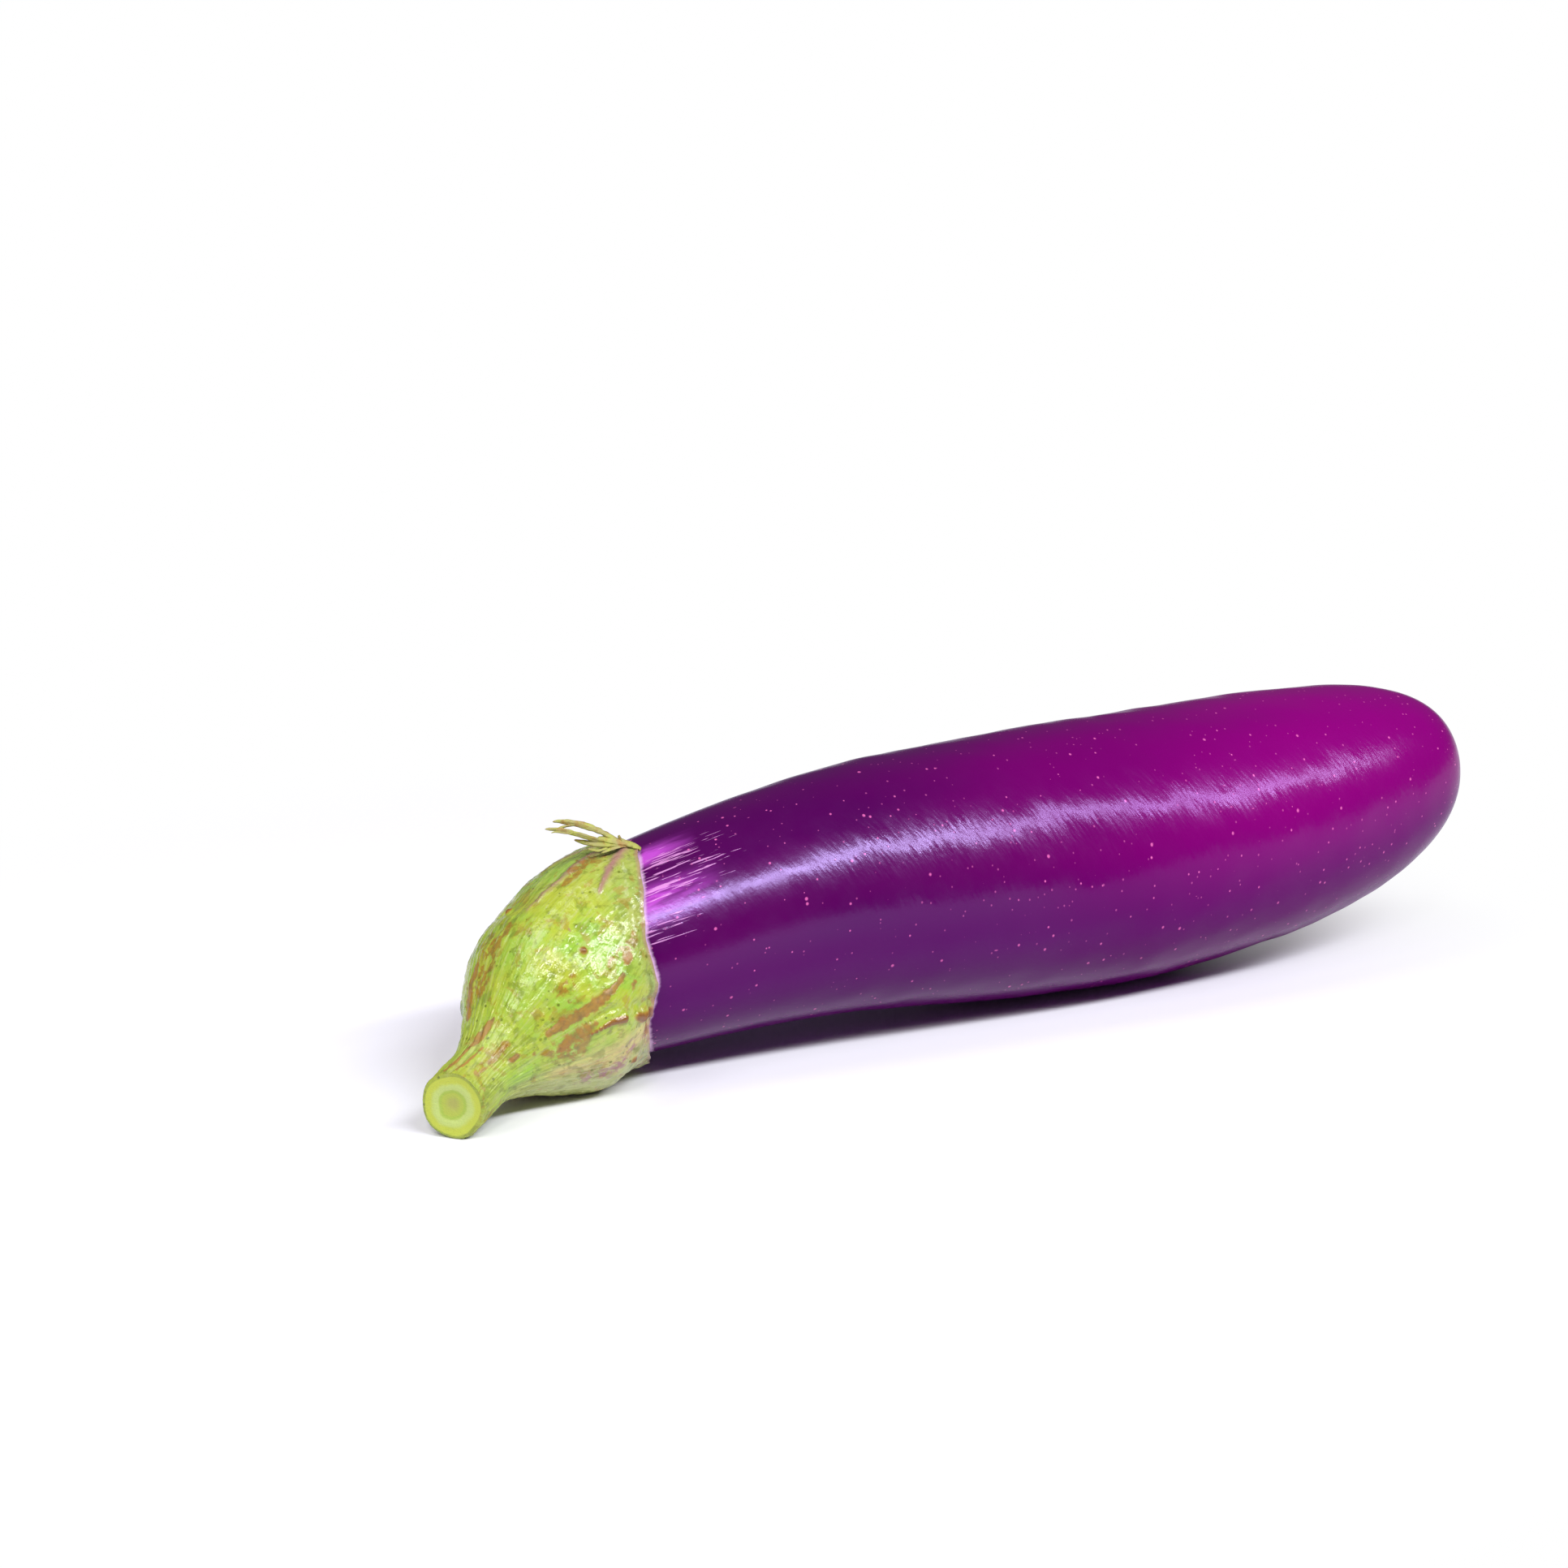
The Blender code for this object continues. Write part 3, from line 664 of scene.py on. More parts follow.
def calyx_points(sizes, fruit):
    """The cut face, the outside of the stalk and calyx, and the inside of the calyx, as one grid.

    The outside is moved along its normals by its relief. The tips of the far lobes rise, the
    margin runs in small waves, and the corner at the cut is a quarter circle.
    """
    around = np.linspace(0.0, 2.0 * math.pi, CALYX_SEGMENTS, endpoint=False)[None, :]
    t = np.linspace(0.0, 1.0, OUTER_RINGS + 1)[:, None]
    t, wide = np.broadcast_arrays(t, around)
    outer = outer_calyx(t, wide, sizes, fruit)
    marks = {name: marked(outer, *kind, sizes, fruit) for name, kind in MARK_KINDS.items()}
    before_margin = np.linalg.norm(outer - outer[-1:], axis=-1)
    rod = np.stack([np.cos(wide) * ROD_RADIUS, np.sin(wide) * ROD_RADIUS, t * ROD_LENGTH], axis=-1)
    move = calyx_relief(outer, t, wide, rod, before_margin, marks, sizes)
    outer = outer + grid_normals(outer) * move[..., None]

    lift = lobe_lift(around, sizes)
    ray = np.stack([np.zeros_like(around), -np.cos(around), np.sin(around)], axis=-1)
    outer = outer + ray * (lift * smooth_step((t - LIFT_START) / (1.0 - LIFT_START)))[..., None]
    circle = np.stack([np.cos(around), np.sin(around), np.zeros_like(around)], axis=-1)
    wiggle = sizes.margin_wiggle * waves(WIGGLE_RADIUS * circle, MARGIN_WAVE, 14, 20)
    outer[..., 0] += wiggle * smooth_step((t - WIGGLE_START) / (1.0 - WIGGLE_START))

    rounding = np.clip(t / CUT_ROUNDING_SHARE, 0.0, 1.0)
    place, _ = stalk_line(t)
    corner = 1.0 - CORNER_DROP * (1.0 - np.sqrt(np.clip(1.0 - (1.0 - rounding) ** 2, 0.0, 1.0)))
    outer = place + (outer - place) * corner[..., None]
    face, share = cut_face(outer[0], around)

    v = np.linspace(0.0, 1.0, INNER_RINGS + 1)[1:, None]
    v, inner_around = np.broadcast_arrays(v, around)
    near_edge = smooth_step(1.0 - v * 6.0)
    inner = inner_calyx(v, inner_around, fruit) + ray * (near_edge * lift)[..., None]
    inner[..., 0] += wiggle * near_edge

    points = np.concatenate([face, outer, inner])
    points[..., 2] = pressed(points[..., 2])
    none_face, none_inner = np.zeros(share.shape), np.zeros(v.shape)

    def whole(values, on_face=0.0, inside=0.0):
        return np.concatenate([none_face + on_face, values, none_inner + inside])

    facts = {name: whole(values) for name, values in marks.items()}
    facts["share"] = whole(t)
    facts["before_margin"] = whole(before_margin, 0.05, 0.0)
    facts["under"] = whole(underside(wide) * smooth_step((t - 0.1) / 0.3))
    facts["cut_share"] = np.concatenate([share, np.ones(t.shape) + t * 10.0, none_inner + 11.0])
    facts["inside"] = whole(np.zeros(t.shape), 0.0, 1.0)
    on_face = np.stack([np.cos(around) * share, np.sin(around) * share, share * 0.0], axis=-1) * ROD_RADIUS
    within = np.stack([np.cos(inner_around), np.sin(inner_around), v], axis=-1) * ROD_RADIUS
    return points, facts, {"lengthwise": np.concatenate([on_face, rod, within])}


def blade_points(half_width, flatness, twist, places, seed):
    """A dried blade: flat ellipses carried along a smooth path, turned as they go, with a ragged edge.

    The path is a cubic through four places. The half width grows from the root to a third of the
    way and then falls to a point as the root of what is left.
    """
    a, b, c, d = (np.array(p) for p in places)
    t = np.linspace(0.0, 1.0, BLADE_RINGS + 1)[:, None]
    first = a * (t - 1 / 3) * (t - 2 / 3) * (t - 1.0) * -4.5 + b * t * (t - 2 / 3) * (t - 1.0) * 13.5
    path = first - c * t * (t - 1 / 3) * (t - 1.0) * 13.5 + d * t * (t - 1 / 3) * (t - 2 / 3) * 4.5
    way = np.gradient(path, axis=0)
    way /= np.linalg.norm(way, axis=1, keepdims=True)
    side = np.cross(way, (0.0, 0.0, 1.0))
    side /= np.linalg.norm(side, axis=1, keepdims=True)
    rise = np.cross(side, way)
    turn = np.radians(twist) * t
    flat_side = np.cos(turn) * side + np.sin(turn) * rise
    flat_rise = np.cos(turn) * rise - np.sin(turn) * side
    around = np.linspace(0.0, 2.0 * math.pi, BLADE_SIDES, endpoint=False)
    fibres = 1.0 + 0.10 * np.cos(3.0 * around + seed) + 0.06 * np.cos(5.0 * around - seed)
    width = half_width * (0.75 + 0.25 * smooth_step(t * 3.0)) * np.sqrt(np.clip(1.0 - t**3.5, 0.0, 1.0))
    width = width * np.where(t > 0.0, 1.0, 0.0)
    circle = np.stack([np.cos(around), np.sin(around), np.zeros_like(around)], axis=-1)
    ragged = 1.0 + BLADE_RAGGED * waves(circle[None] * 0.0009 + path[:, None], 0.0013, seed)
    reach = (width * fibres)[..., None] * ragged[..., None]
    across = reach * np.cos(around)[None, :, None] * flat_side[:, None]
    through = reach * flatness * np.sin(around)[None, :, None] * flat_rise[:, None]
    return path[:, None] + across + through


def closed_faces(rows, columns, first=0):
    """Faces of a grid whose first and last rows are poles, and whose columns wrap round."""
    ring = np.arange(rows - 3)[:, None] * columns + 1 + first
    here = np.arange(columns)[None, :]
    after = (here + 1) % columns
    quads = np.stack([ring + here, ring + columns + here, ring + columns + after, ring + after], axis=-1)
    start = np.stack([np.full(columns, first), first + 1 + here[0], first + 1 + after[0]], axis=-1)
    last_ring = first + 1 + (rows - 3) * columns
    pole = np.full(columns, last_ring + columns)
    end = np.stack([pole, last_ring + after[0], last_ring + here[0]], axis=-1)
    return quads.reshape(-1, 4), np.concatenate([start, end])


def as_vertices(grid):
    """A grid's points as a list in which each pole row is one point."""
    return np.concatenate([grid[:1, 0], grid[1:-1].reshape((-1,) + grid.shape[2:]), grid[-1:, 0]])


def new_piece(name, grids, facts=(), vectors=()):
    """One object from closed grids, with its attributes, moved to where the frame's fruit lies."""
    vertices, quads, ends = [], [], []
    for grid in grids:
        first = sum(len(part) for part in vertices)
        four, three = closed_faces(grid.shape[0], grid.shape[1], first)
        vertices.append(as_vertices(grid))
        quads.append(four)
        ends.append(three)
    points = np.concatenate(vertices) + frame_place()
    faces = np.concatenate(quads).tolist() + np.concatenate(ends).tolist()
    mesh = bpy.data.meshes.new(name)
    mesh.from_pydata(points.tolist(), [], faces)
    for key, values in dict(facts).items():
        layer = mesh.attributes.new(key, "FLOAT", "POINT")
        layer.data.foreach_set("value", as_vertices(values).astype(np.float32))
    for key, values in dict(vectors).items():
        layer = mesh.attributes.new(key, "FLOAT_VECTOR", "POINT")
        layer.data.foreach_set("vector", as_vertices(values).astype(np.float32).ravel())
    mesh.update()
    mesh.shade_smooth()
    piece = bpy.data.objects.new(name, mesh)
    bpy.context.scene.collection.objects.link(piece)
    return piece


def frame_place():
    """Where X and Y are 0: the frame's fruit begins at its bud end, the point with the least X."""
    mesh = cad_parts["fruit"].data
    points = np.empty(len(mesh.vertices) * 3, np.float32)
    mesh.vertices.foreach_get("co", points)
    points = points.reshape(-1, 3)
    bud = points[points[:, 0].argmin()]
    return np.array((bud[0] - BUD_END_X, bud[1], 0.0))


def node(tree, kind, inputs=None, **settings):
    """One node with its settings, each input set to a value or linked to another node's output."""
    made = tree.nodes.new(kind)
    for key, value in settings.items():
        setattr(made, key, value)
    for key, value in (inputs or {}).items():
        if isinstance(value, bpy.types.NodeSocket):
            tree.links.new(value, made.inputs[key])
        else:
            made.inputs[key].default_value = value
    return made


def maths(tree, operation, first, second=0.0, clamp=False):
    """One sum of two values."""
    inputs = {0: first, 1: second}
    return node(tree, "ShaderNodeMath", inputs, operation=operation, use_clamp=clamp).outputs[0]


def times(tree, first, second, clamp=False):
    """The product of two values."""
    return maths(tree, "MULTIPLY", first, second, clamp)


def fade(tree, value, low, high, start=0.0, end=1.0):
    """A soft step from start to end as the value goes from low to high."""
    inputs = {"Value": value, "From Min": low, "From Max": high, "To Min": start, "To Max": end}
    return node(tree, "ShaderNodeMapRange", inputs, interpolation_type="SMOOTHSTEP").outputs[0]


def blend(tree, factor, first, second):
    """One colour going over to another."""
    return node(tree, "ShaderNodeMix", {0: factor, 6: first, 7: second}, data_type="RGBA").outputs[2]


def over(tree, base, mask, strength, tint):
    """A tint laid over the base where the mask is, as strongly as the strength says."""
    return blend(tree, times(tree, mask, strength), base, tint)


def noise(tree, vector, scale, detail=2.0, roughness=0.5, distortion=0.0):
    """Cloudy values between 0 and 1."""
    inputs = {"Vector": vector, "Scale": scale, "Detail": detail, "Roughness": roughness}
    inputs["Distortion"] = distortion
    return node(tree, "ShaderNodeTexNoise", inputs).outputs[0]


def stretched(tree, vector, scale, place=(0.0, 0.0, 0.0)):
    """Coordinates scaled by axis."""
    return node(tree, "ShaderNodeMapping", {"Vector": vector, "Scale": scale, "Location": place}).outputs[0]


def fact(tree, name):
    """A value stored on the mesh."""
    return node(tree, "ShaderNodeAttribute", attribute_name=name).outputs["Fac"]


def direction(tree, name):
    """Coordinates stored on the mesh."""
    return node(tree, "ShaderNodeAttribute", attribute_name=name).outputs["Vector"]


def new_group(name, inputs, outputs):
    """A shader node group with named sockets, and its input and output nodes."""
    tree = bpy.data.node_groups.new(name, "ShaderNodeTree")
    for label, kind, value in inputs:
        socket = tree.interface.new_socket(name=label, in_out="INPUT", socket_type=kind)
        if value is not None:
            socket.default_value = value
    for label, kind in outputs:
        tree.interface.new_socket(name=label, in_out="OUTPUT", socket_type=kind)
    return tree, tree.nodes.new("NodeGroupInput").outputs, tree.nodes.new("NodeGroupOutput").inputs


def specks_group():
    """Small round specks: each cell of a cell pattern may hold one, of its own size."""
    if "Specks" in bpy.data.node_groups:
        return bpy.data.node_groups["Specks"]
    inputs = (
        ("Vector", "NodeSocketVector", None),
        ("Scale", "NodeSocketFloat", 400.0),
        ("Size", "NodeSocketFloat", 0.2),
        ("Share", "NodeSocketFloat", 0.4),
    )
    tree, given, out = new_group("Specks", inputs, (("Mask", "NodeSocketFloat"),))
    cells = node(tree, "ShaderNodeTexVoronoi", {"Vector": given["Vector"], "Scale": given["Scale"]})
    parts = node(tree, "ShaderNodeSeparateColor", {0: cells.outputs["Color"]}).outputs
    present = maths(tree, "LESS_THAN", parts[0], given["Share"])
    size = times(tree, given["Size"], maths(tree, "ADD", parts[1], 0.35))
    inner = times(tree, size, 0.45)
    spot = fade(tree, cells.outputs["Distance"], inner, size, 1.0, 0.0)
    tree.links.new(times(tree, spot, present), out["Mask"])
    return tree


def mottle_group():
    """Cloudy patches with soft edges at two sizes, between 0 and 1."""
    if "Mottle" in bpy.data.node_groups:
        return bpy.data.node_groups["Mottle"]
    inputs = (
        ("Vector", "NodeSocketVector", None),
        ("Scale", "NodeSocketFloat", 100.0),
        ("Low", "NodeSocketFloat", 0.4),
        ("High", "NodeSocketFloat", 0.6),
    )
    tree, given, out = new_group("Mottle", inputs, (("Mask", "NodeSocketFloat"),))
    broad = noise(tree, given["Vector"], given["Scale"], 4.0, 0.62, 0.4)
    tree.links.new(fade(tree, broad, given["Low"], given["High"]), out["Mask"])
    return tree


def effect(tree, group, **inputs):
    """A shared node group placed in a material with its own values."""
    return node(tree, "ShaderNodeGroup", inputs, node_tree=group).outputs[0]


def mottled(tree, vector, scale, low, high):
    """Cloudy patches of one scale."""
    return effect(tree, mottle_group(), Vector=vector, Scale=scale, Low=low, High=high)


def specked(tree, vector, scale, size, share):
    """Round specks of one scale, size and share of the cells."""
    return effect(tree, specks_group(), Vector=vector, Scale=scale, Size=size, Share=share)


def new_material(name):
    """A material, its tree and its Principled shader."""
    material = bpy.data.materials.new(name)
    material.use_nodes = True
    return material, material.node_tree, material.node_tree.nodes["Principled BSDF"]


def object_place(tree):
    """The object's own coordinates."""
    return node(tree, "ShaderNodeTexCoord").outputs["Object"]


def bumped(tree, shader, height, distance):
    """The height becomes the shader's normal."""
    bump = node(tree, "ShaderNodeBump", {"Height": height, "Distance": distance, "Strength": 1.0})
    tree.links.new(bump.outputs["Normal"], shader.inputs["Normal"])


def leaned(tree, shader, skin, lean):
    """The shader's normal leans round the fruit by the given share of the way that runs round it."""
    normal = shader.inputs["Normal"].links[0].from_socket
    parts = node(tree, "ShaderNodeSeparateXYZ", {0: skin}).outputs
    back = times(tree, parts["Y"], -1.0)
    way_round = node(tree, "ShaderNodeCombineXYZ", {"Y": parts["Z"], "Z": back}).outputs[0]
    unit = node(tree, "ShaderNodeVectorMath", {0: way_round}, operation="NORMALIZE").outputs[0]
    turn = node(tree, "ShaderNodeVectorMath", {0: unit, "Scale": lean}, operation="SCALE").outputs[0]
    total = node(tree, "ShaderNodeVectorMath", {0: normal, 1: turn}, operation="ADD").outputs[0]
    result = node(tree, "ShaderNodeVectorMath", {0: total}, operation="NORMALIZE").outputs[0]
    tree.links.new(result, shader.inputs["Normal"])


def skin_streaks(tree, skin):
    """Streaks along the fruit, in bundles, the more of them the nearer the calyx."""
    lines = noise(tree, stretched(tree, skin, (180.0, 2900.0, 2900.0)), 1.0, 2.0, 0.55)
    bundles = noise(tree, stretched(tree, skin, (45.0, 420.0, 420.0), (0.0, 3.0, 1.0)), 1.0, 1.0)
    level = fade(tree, fact(tree, "streaky"), 0.0, 0.9, 0.85, 0.545)
    level = maths(tree, "SUBTRACT", level, fade(tree, bundles, 0.36, 0.68, -0.06, 0.08))
    return fade(tree, maths(tree, "SUBTRACT", lines, level), 0.0, 0.06)


def skin_colour(tree, skin, ripe_and_lit, streaks, scar, look):
    """Violet to magenta, partly painted shade at the neck end, painted shade darker and bluer below, with
    glow (in part a painted highlight), streaks and pale edge by the calyx, flecks and the scar.
    """
    # Painted shade in part: the neck end's darker violet goes over to magenta along the fruit.
    base = blend(tree, ripe_and_lit, look.deep, look.bright)
    # Painted shade: the low side darker and bluer.
    base = over(tree, base, fact(tree, "low_side"), 0.75, look.shade)
    patches = noise(tree, stretched(tree, skin, (110.0, 700.0, 700.0)), 1.0, 3.0, 0.6)
    # Paler young skin by the calyx, and in part a painted highlight where the long highlight begins.
    glow = times(tree, fact(tree, "glow"), fade(tree, patches, 0.30, 0.62, 0.45, 1.5), clamp=True)
    base = over(tree, base, glow, 0.9, look.neck)
    base = over(tree, base, streaks, 0.66, look.streak)

    drawn_out = stretched(tree, skin, (0.35, 1.0, 1.0))
    near_tip = fade(tree, fact(tree, "from_scar"), 0.004, 0.024, 0.85, 0.30)
    base = over(tree, base, specked(tree, skin, 430.0, 0.120, 0.85), 0.60, look.fleck)
    base = over(tree, base, specked(tree, skin, 270.0, 0.062, 0.80), 0.72, look.fleck)
    base = over(tree, base, specked(tree, drawn_out, 640.0, 0.085, 0.10), 0.45, look.fleck)
    base = over(tree, base, specked(tree, skin, 760.0, 0.14, 0.50), near_tip, look.fleck)

    ragged = maths(tree, "SUBTRACT", fact(tree, "past_margin"), fade(tree, patches, 0.3, 0.7, 0.0, 0.0003))
    base = over(tree, base, fade(tree, ragged, 0.0002, 0.0010, 1.0, 0.0), 0.85, look.edge)
    return blend(tree, scar, base, look.cork)


def skin_shine(tree, shader, skin, ripe_and_lit, scar, look):
    """Roughness, and a tinted gloss that falls off along the fruit away from the calyx, on the low side and
    round the scar.
    """
    worn = noise(tree, skin, 260.0, 3.0)
    rough = maths(tree, "ADD", fade(tree, worn, 0.2, 0.8, 0.19, 0.27), times(tree, scar, 0.4), clamp=True)
    tree.links.new(rough, shader.inputs["Roughness"])
    below = fade(tree, fact(tree, "low_side"), 0.0, 1.0, 1.0, 0.28)
    gloss = times(tree, fade(tree, ripe_and_lit, 0.1, 0.55, 0.60, 0.33), below)
    gloss = times(tree, gloss, fade(tree, fact(tree, "from_scar"), 0.014, 0.024, 0.35, 1.0))
    tree.links.new(gloss, shader.inputs["Specular IOR Level"])
    shine = blend(tree, fade(tree, ripe_and_lit, 0.1, 0.8), look.young_shine, look.ripe_shine)
    tree.links.new(shine, shader.inputs["Specular Tint"])


def skin_relief(tree, shader, skin, streaks, look):
    """Fine grain, slanted lines and faint streaks as a bump, and a lean that frays the reflections."""
    slanted = direction(tree, "slanted")
    frayed = fact(tree, "frayed")
    grain = noise(tree, skin, 1300.0, 2.0, 0.6)
    fray = times(tree, noise(tree, stretched(tree, slanted, (1450.0, 520.0, 520.0)), 1.0, 3.0, 0.6), frayed)
    height = times(tree, grain, look.grain_depth / BUMP_DISTANCE)
    height = maths(tree, "ADD", height, times(tree, fray, look.fray_depth / BUMP_DISTANCE))
    height = maths(tree, "ADD", height, times(tree, streaks, 0.010))
    bumped(tree, shader, height, BUMP_DISTANCE)
    strokes = noise(tree, stretched(tree, slanted, (1750.0, 330.0, 330.0)), 1.0, 3.0, 0.6)
    lean = times(tree, maths(tree, "SUBTRACT", strokes, 0.5), frayed)
    leaned(tree, shader, skin, times(tree, lean, look.fray_lean))


def skin_material(look):
    """Glossy violet skin, read along and round the fruit from the coordinates stored on it."""
    material, tree, shader = new_material("eggplant_skin")
    skin = direction(tree, "skin")
    cloud = noise(tree, stretched(tree, skin, (12.0, 42.0, 42.0)), 1.0, 2.0, 0.5)
    # Along the fruit, with a cloud of noise: ripening colour, and painted shade at the neck end.
    ripe_and_lit = maths(tree, "ADD", fact(tree, "ripeness"), fade(tree, cloud, 0.30, 0.70, -0.14, 0.14), clamp=True)
    streaks = skin_streaks(tree, skin)
    scar = fade(tree, fact(tree, "from_scar"), 0.0012, 0.0034, 1.0, 0.0)
    tree.links.new(skin_colour(tree, skin, ripe_and_lit, streaks, scar, look), shader.inputs["Base Color"])
    skin_shine(tree, shader, skin, ripe_and_lit, scar, look)
    skin_relief(tree, shader, skin, streaks, look)
    return material


def calyx_ground(tree, place, fibres, share, look):
    """Lime and yellow patches, paler below and by the lobes, tan under the folds, with strands and specks."""
    base = blend(tree, mottled(tree, place, 110.0, 0.36, 0.64), look.lime, look.yellow)
    base = blend(tree, fade(tree, share, 0.10, 0.34, 0.6, 0.0), base, look.yellow)
    base = over(tree, base, fact(tree, "under"), 0.9, look.pale)
    shoulder = fade(tree, share, 0.62, 0.90)
    base = over(tree, base, shoulder, 0.45, look.pale)
    base = over(tree, base, shoulder, 0.22, look.olive)
    base = blend(tree, fade(tree, share, 0.06, 0.36, 0.22, 0.0), base, look.olive)

    strands = noise(tree, stretched(tree, fibres, (1100.0, 1100.0, 900.0)), 1.0, 3.0, 0.65)
    base = over(tree, base, fact(tree, "dull"), fade(tree, strands, 0.36, 0.60, 1.0, 0.62), look.dull)
    past_stalk = fade(tree, share, 0.1, 0.4, 0.35, 1.0)
    base = over(tree, base, fade(tree, strands, 0.52, 0.66, 0.0, 0.50), past_stalk, look.pale)
    base = blend(tree, fade(tree, strands, 0.48, 0.34, 0.0, 0.28), base, look.olive)
    base = over(tree, base, fact(tree, "ridge"), 0.45, look.pale)
    base = over(tree, base, mottled(tree, place, 420.0, 0.53, 0.63), 0.42, look.olive)
    base = over(tree, base, mottled(tree, place, 300.0, 0.575, 0.64), 0.38, look.corky)
    dots = times(tree, specked(tree, place, 950.0, 0.32, 0.40), mottled(tree, place, 160.0, 0.40, 0.58))
    return over(tree, base, dots, 0.85, look.olive)


def calyx_marks(tree, base, place, scab, bark, look):
    """Pink creases and bruises, rubbed places, brown folds with a painted shadow line along their middle,
    corky scabs and a pink margin.
    """
    base = over(tree, base, fact(tree, "pink"), 0.80, look.pink)
    bruised = times(tree, fact(tree, "bruise"), mottled(tree, place, 700.0, 0.44, 0.56))
    base = over(tree, base, bruised, 0.85, look.pink)
    rubbed = times(tree, mottled(tree, place, 620.0, 0.40, 0.54), fade(tree, fact(tree, "scuff"), 0.0, 0.45))
    base = over(tree, base, rubbed, 0.72, bark)
    # Brown along the fold, and at its middle a painted shadow line, darkest where one lobe lies over the
    # next.
    fold = fact(tree, "fold")
    base = blend(tree, fade(tree, fold, 0.05, 0.50, 0.0, 0.85), base, look.corky)
    base = blend(tree, fade(tree, fold, 0.35, 0.80, 0.0, 0.8), base, look.bark)
    base = over(tree, base, scab, 0.84, bark)
    return blend(tree, fade(tree, fact(tree, "before_margin"), 0.0002, 0.0010, 0.5, 0.0), base, look.pink)


def cut_face_colour(tree, place, fibres, ring, look):
    """Yellow green rim, pale flesh, a yellow disc with a ring of vessels, a pinkish pith and fine rays."""
    wobble = noise(tree, place, 340.0, 2.0)
    ring = maths(tree, "ADD", ring, fade(tree, wobble, 0.2, 0.8, -0.05, 0.05))
    face = blend(tree, fade(tree, ring, 0.66, 0.84), look.flesh, look.cut_rim)
    face = over(tree, face, fade(tree, ring, 0.44, 0.56, 1.0, 0.0), 0.85, look.yellow)
    vessels = times(tree, fade(tree, ring, 0.36, 0.44), fade(tree, ring, 0.46, 0.54, 1.0, 0.0))
    face = over(tree, face, vessels, 0.45, look.lime)
    face = blend(tree, fade(tree, ring, 0.10, 0.34, 0.25, 0.0), face, look.pink)
    rays = noise(tree, stretched(tree, fibres, (1500.0, 1500.0, 1.0)), 1.0, 2.0)
    return blend(tree, fade(tree, rays, 0.5, 0.75, 0.0, 0.35), face, look.lime)


def calyx_material(look):
    """Fleshy green that takes in a little light, with its marks, the cut face and the pale inside."""
    material, tree, shader = new_material("green_calyx")
    place = object_place(tree)
    fibres = direction(tree, "lengthwise")
    corky = fact(tree, "corky")
    share = fact(tree, "share")
    torn = noise(tree, place, 900.0, 3.0, 0.6)
    bark = blend(tree, fade(tree, torn, 0.30, 0.58), look.bark, look.corky)
    scab = fade(tree, maths(tree, "ADD", corky, fade(tree, torn, 0.2, 0.8, -0.22, 0.22)), 0.12, 0.56)
    base = calyx_ground(tree, place, fibres, share, look)
    base = calyx_marks(tree, base, place, scab, bark, look)
    ring = fact(tree, "cut_share")
    face = cut_face_colour(tree, place, fibres, ring, look)
    base = blend(tree, fade(tree, ring, 0.97, 1.01, 1.0, 0.0), base, face)
    base = blend(tree, fact(tree, "inside"), base, look.flesh)
    tree.links.new(base, shader.inputs["Base Color"])

    rough = fade(tree, noise(tree, place, 500.0, 3.0), 0.25, 0.75, 0.11, 0.28)
    rough = maths(tree, "ADD", rough, times(tree, corky, 0.35), clamp=True)
    rough = maths(tree, "ADD", rough, fade(tree, share, 0.10, 0.40, 0.28, 0.0), clamp=True)
    tree.links.new(rough, shader.inputs["Roughness"])
    shader.inputs["Specular IOR Level"].default_value = 0.5
    shader.inputs["Subsurface Weight"].default_value = 0.12
    shader.inputs["Subsurface Radius"].default_value = (0.0012, 0.0016, 0.0005)
    shader.inputs["Subsurface Scale"].default_value = 1.0
    pores = noise(tree, place, 1100.0, 3.0, 0.6)
    wrinkles = noise(tree, stretched(tree, fibres, (900.0, 900.0, 420.0)), 1.0, 2.0)
    height = maths(tree, "ADD", times(tree, pores, 0.11), times(tree, wrinkles, 0.12))
    height = maths(tree, "SUBTRACT", height, times(tree, scab, 0.06))
    bumped(tree, shader, height, BUMP_DISTANCE)
    return material


def dried_material(look):
    """Dry straw green that browns in patches, with fine fibres."""
    material, tree, shader = new_material("dried_threads")
    place = object_place(tree)
    base = over(tree, look.straw, mottled(tree, place, 420.0, 0.40, 0.62), 0.6, look.yellow)
    base = over(tree, base, mottled(tree, place, 650.0, 0.50, 0.66), 0.6, look.corky)
    base = over(tree, base, specked(tree, place, 1600.0, 0.30, 0.30), 0.5, look.olive)
    tree.links.new(base, shader.inputs["Base Color"])
    fibres = noise(tree, stretched(tree, place, (700.0, 3200.0, 3200.0)), 1.0, 3.0, 0.6)
    tree.links.new(fade(tree, fibres, 0.3, 0.7, 0.55, 0.75), shader.inputs["Roughness"])
    bumped(tree, shader, fibres, 0.00015)
    return material


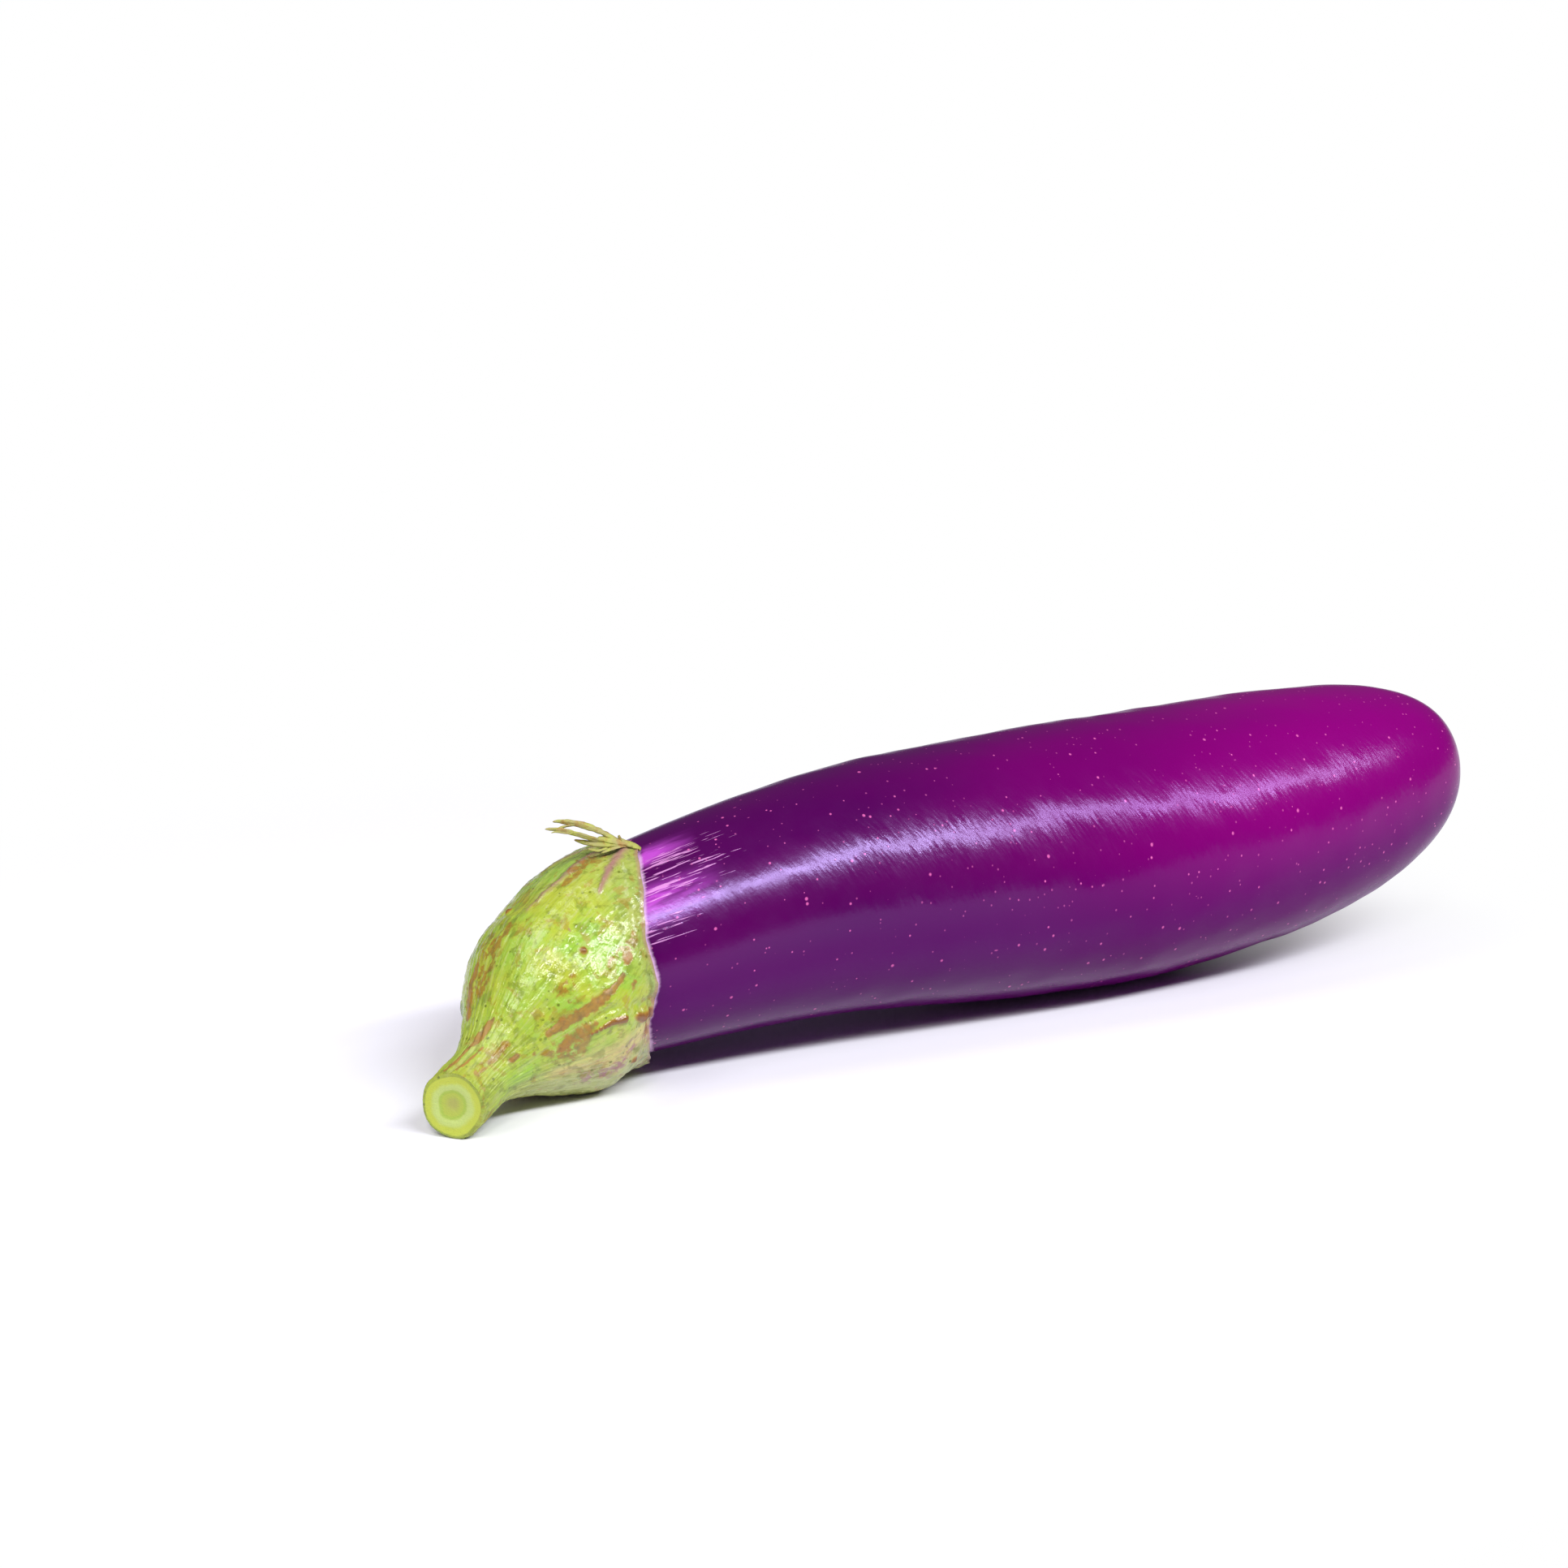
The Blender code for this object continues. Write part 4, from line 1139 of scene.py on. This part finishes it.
def floor_material(look):
    """Plain white with a fine tooth. Past a ring round a place by the stalk the camera sees even white, which
    also lies as painted light over much of the shadow by the blossom end.
    """
    material, tree, shader = new_material("white_floor")
    place = object_place(tree)
    shader.inputs["Base Color"].default_value = look.floor
    tooth = noise(tree, place, 900.0, 2.0)
    tree.links.new(fade(tree, tooth, 0.3, 0.7, 0.32, 0.40), shader.inputs["Roughness"])
    # Painted light: the camera-only white reaches over the shadow by the blossom end.
    from_centre = node(tree, "ShaderNodeVectorMath", {0: place, 1: FLOOR_LIT_CENTRE}, operation="DISTANCE")
    white = node(tree, "ShaderNodeEmission", {"Color": WHITE, "Strength": 1.0})
    seen = node(tree, "ShaderNodeLightPath").outputs["Is Camera Ray"]
    lit = times(tree, fade(tree, from_centre.outputs["Value"], FLOOR_LIT_NEAR, FLOOR_LIT_FAR), seen)
    both = node(tree, "ShaderNodeMixShader", {0: lit, 1: shader.outputs[0], 2: white.outputs[0]})
    tree.links.new(both.outputs[0], tree.nodes["Material Output"].inputs["Surface"])
    return material


def settle(piece, material, node_name):
    """Gives the piece its finish, and lets it stand for its node."""
    piece.data.materials.append(material)
    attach(piece, BODY)
    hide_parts(node_name)


class EGGPLANT_OT_fruit(bpy.types.Operator):
    """Builds the fruit: one closed skin with its swells, dimples and blossom scar"""

    bl_idname = "eggplant.fruit"
    bl_label = "Build Fruit"

    def execute(self, context):
        look = context.scene.eggplant_fruit
        points, facts, vectors = fruit_points(look)
        piece = new_piece("eggplant_fruit", [points], facts, vectors)
        settle(piece, skin_material(look), "fruit")
        return {"FINISHED"}


class EGGPLANT_OT_calyx(bpy.types.Operator):
    """Builds the calyx with its lobes, the stalk and its cut face, as one closed skin"""

    bl_idname = "eggplant.calyx"
    bl_label = "Build Calyx and Stalk"

    def execute(self, context):
        look = context.scene.eggplant_calyx
        points, facts, vectors = calyx_points(look, context.scene.eggplant_fruit)
        piece = new_piece("calyx_and_stalk", [points], facts, vectors)
        settle(piece, calyx_material(look), "calyx_stalk")
        return {"FINISHED"}


class EGGPLANT_OT_threads(bpy.types.Operator):
    """Builds the dried threads at the end of the top lobe"""

    bl_idname = "eggplant.threads"
    bl_label = "Build Dried Threads"

    def execute(self, context):
        grids = [blade_points(*blade, seed) for seed, blade in enumerate(DRIED_BLADES, start=71)]
        piece = new_piece("dried_lobe_tip", grids)
        settle(piece, dried_material(context.scene.eggplant_calyx), "calyx_stalk")
        return {"FINISHED"}


def add_light(name, power, place, target, across, size, tint):
    """A flat soft light at a place, facing a target, with its long side along a direction."""
    light = bpy.data.lights.new(name, "AREA")
    light.shape = "RECTANGLE"
    light.size, light.size_y = size
    light.energy = power
    light.color = tint
    away = (Vector(place) - Vector(target)).normalized()
    side = (Vector(across) - Vector(across).dot(away) * away).normalized()
    turn = Matrix((side, away.cross(side), away)).transposed()
    obj = bpy.data.objects.new(name, light)
    obj.matrix_world = Matrix.Translation(place) @ turn.to_4x4()
    bpy.context.scene.collection.objects.link(obj)


def light_room(sky):
    """An even violet light from all round, which the camera sees as white."""
    world = bpy.data.worlds.new("room")
    world.use_nodes = True
    tree = world.node_tree
    violet = tree.nodes["Background"]
    violet.inputs["Color"].default_value = ROOM_TINT
    violet.inputs["Strength"].default_value = sky
    white = node(tree, "ShaderNodeBackground", {"Color": WHITE, "Strength": 1.0})
    seen = node(tree, "ShaderNodeLightPath").outputs["Is Camera Ray"]
    both = node(tree, "ShaderNodeMixShader", {0: seen, 1: violet.outputs[0], 2: white.outputs[0]})
    tree.links.new(both.outputs[0], tree.nodes["World Output"].inputs["Surface"])
    bpy.context.scene.world = world


def set_camera():
    """The camera at the photo's angle."""
    camera = bpy.data.objects.new("camera", bpy.data.cameras.new("camera"))
    camera.data.lens = CAMERA_LENS
    camera.data.sensor_width = CAMERA_SENSOR
    camera.data.clip_start = NEAREST_SEEN
    camera.location = CAMERA_PLACE
    camera.rotation_mode = "QUATERNION"
    camera.rotation_quaternion = (-Vector(CAMERA_BACK)).to_track_quat("-Z", "Y")
    bpy.context.scene.collection.objects.link(camera)
    bpy.context.scene.camera = camera


class EGGPLANT_OT_stage(bpy.types.Operator):
    """Lays the white floor, hangs the soft lights and sets the camera"""

    bl_idname = "eggplant.stage"
    bl_label = "Build Stage"

    def execute(self, context):
        look = context.scene.eggplant_stage
        corners = [(-1, -1), (1, -1), (1, 1), (-1, 1)]
        mesh = bpy.data.meshes.new("floor")
        mesh.from_pydata([(x * FLOOR_HALF, y * FLOOR_HALF, 0.0) for x, y in corners], [], [(0, 1, 2, 3)])
        mesh.materials.append(floor_material(look))
        floor = bpy.data.objects.new("floor", mesh)
        context.scene.collection.objects.link(floor)
        for name, power, *shape in LIGHTS:
            add_light(name, getattr(look, power), *shape)
        light_room(look.sky)
        set_camera()
        context.scene.view_settings.view_transform = "Standard"
        return {"FINISHED"}


class EGGPLANT_PT_panel(bpy.types.Panel):
    """Sizes, colours and builders of the eggplant"""

    bl_idname = "EGGPLANT_PT_panel"
    bl_label = "Long Purple Eggplant"
    bl_space_type = "VIEW_3D"
    bl_region_type = "UI"
    bl_category = "Eggplant"

    def draw(self, context):
        for key, _, operators in PANEL_PARTS:
            box = self.layout.box()
            settings = getattr(context.scene, key)
            for name in settings.__annotations__:
                box.prop(settings, name)
            for operator in operators:
                box.operator(operator.bl_idname)


PANEL_PARTS = (
    ("eggplant_fruit", EggplantFruitSettings, (EGGPLANT_OT_fruit,)),
    ("eggplant_calyx", EggplantCalyxSettings, (EGGPLANT_OT_calyx, EGGPLANT_OT_threads)),
    ("eggplant_stage", EggplantStageSettings, (EGGPLANT_OT_stage,)),
)


def register():
    for key, settings, operators in PANEL_PARTS:
        bpy.utils.register_class(settings)
        setattr(bpy.types.Scene, key, bpy.props.PointerProperty(type=settings))
        for operator in operators:
            bpy.utils.register_class(operator)
    bpy.utils.register_class(EGGPLANT_PT_panel)


def unregister():
    bpy.utils.unregister_class(EGGPLANT_PT_panel)
    for key, settings, operators in reversed(PANEL_PARTS):
        for operator in reversed(operators):
            bpy.utils.unregister_class(operator)
        delattr(bpy.types.Scene, key)
        bpy.utils.unregister_class(settings)


def main():
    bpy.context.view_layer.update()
    register()
    bpy.ops.eggplant.stage()
    bpy.ops.eggplant.fruit()
    bpy.ops.eggplant.calyx()
    bpy.ops.eggplant.threads()
    bpy.context.view_layer.update()


if __name__ == "__main__":
    main()
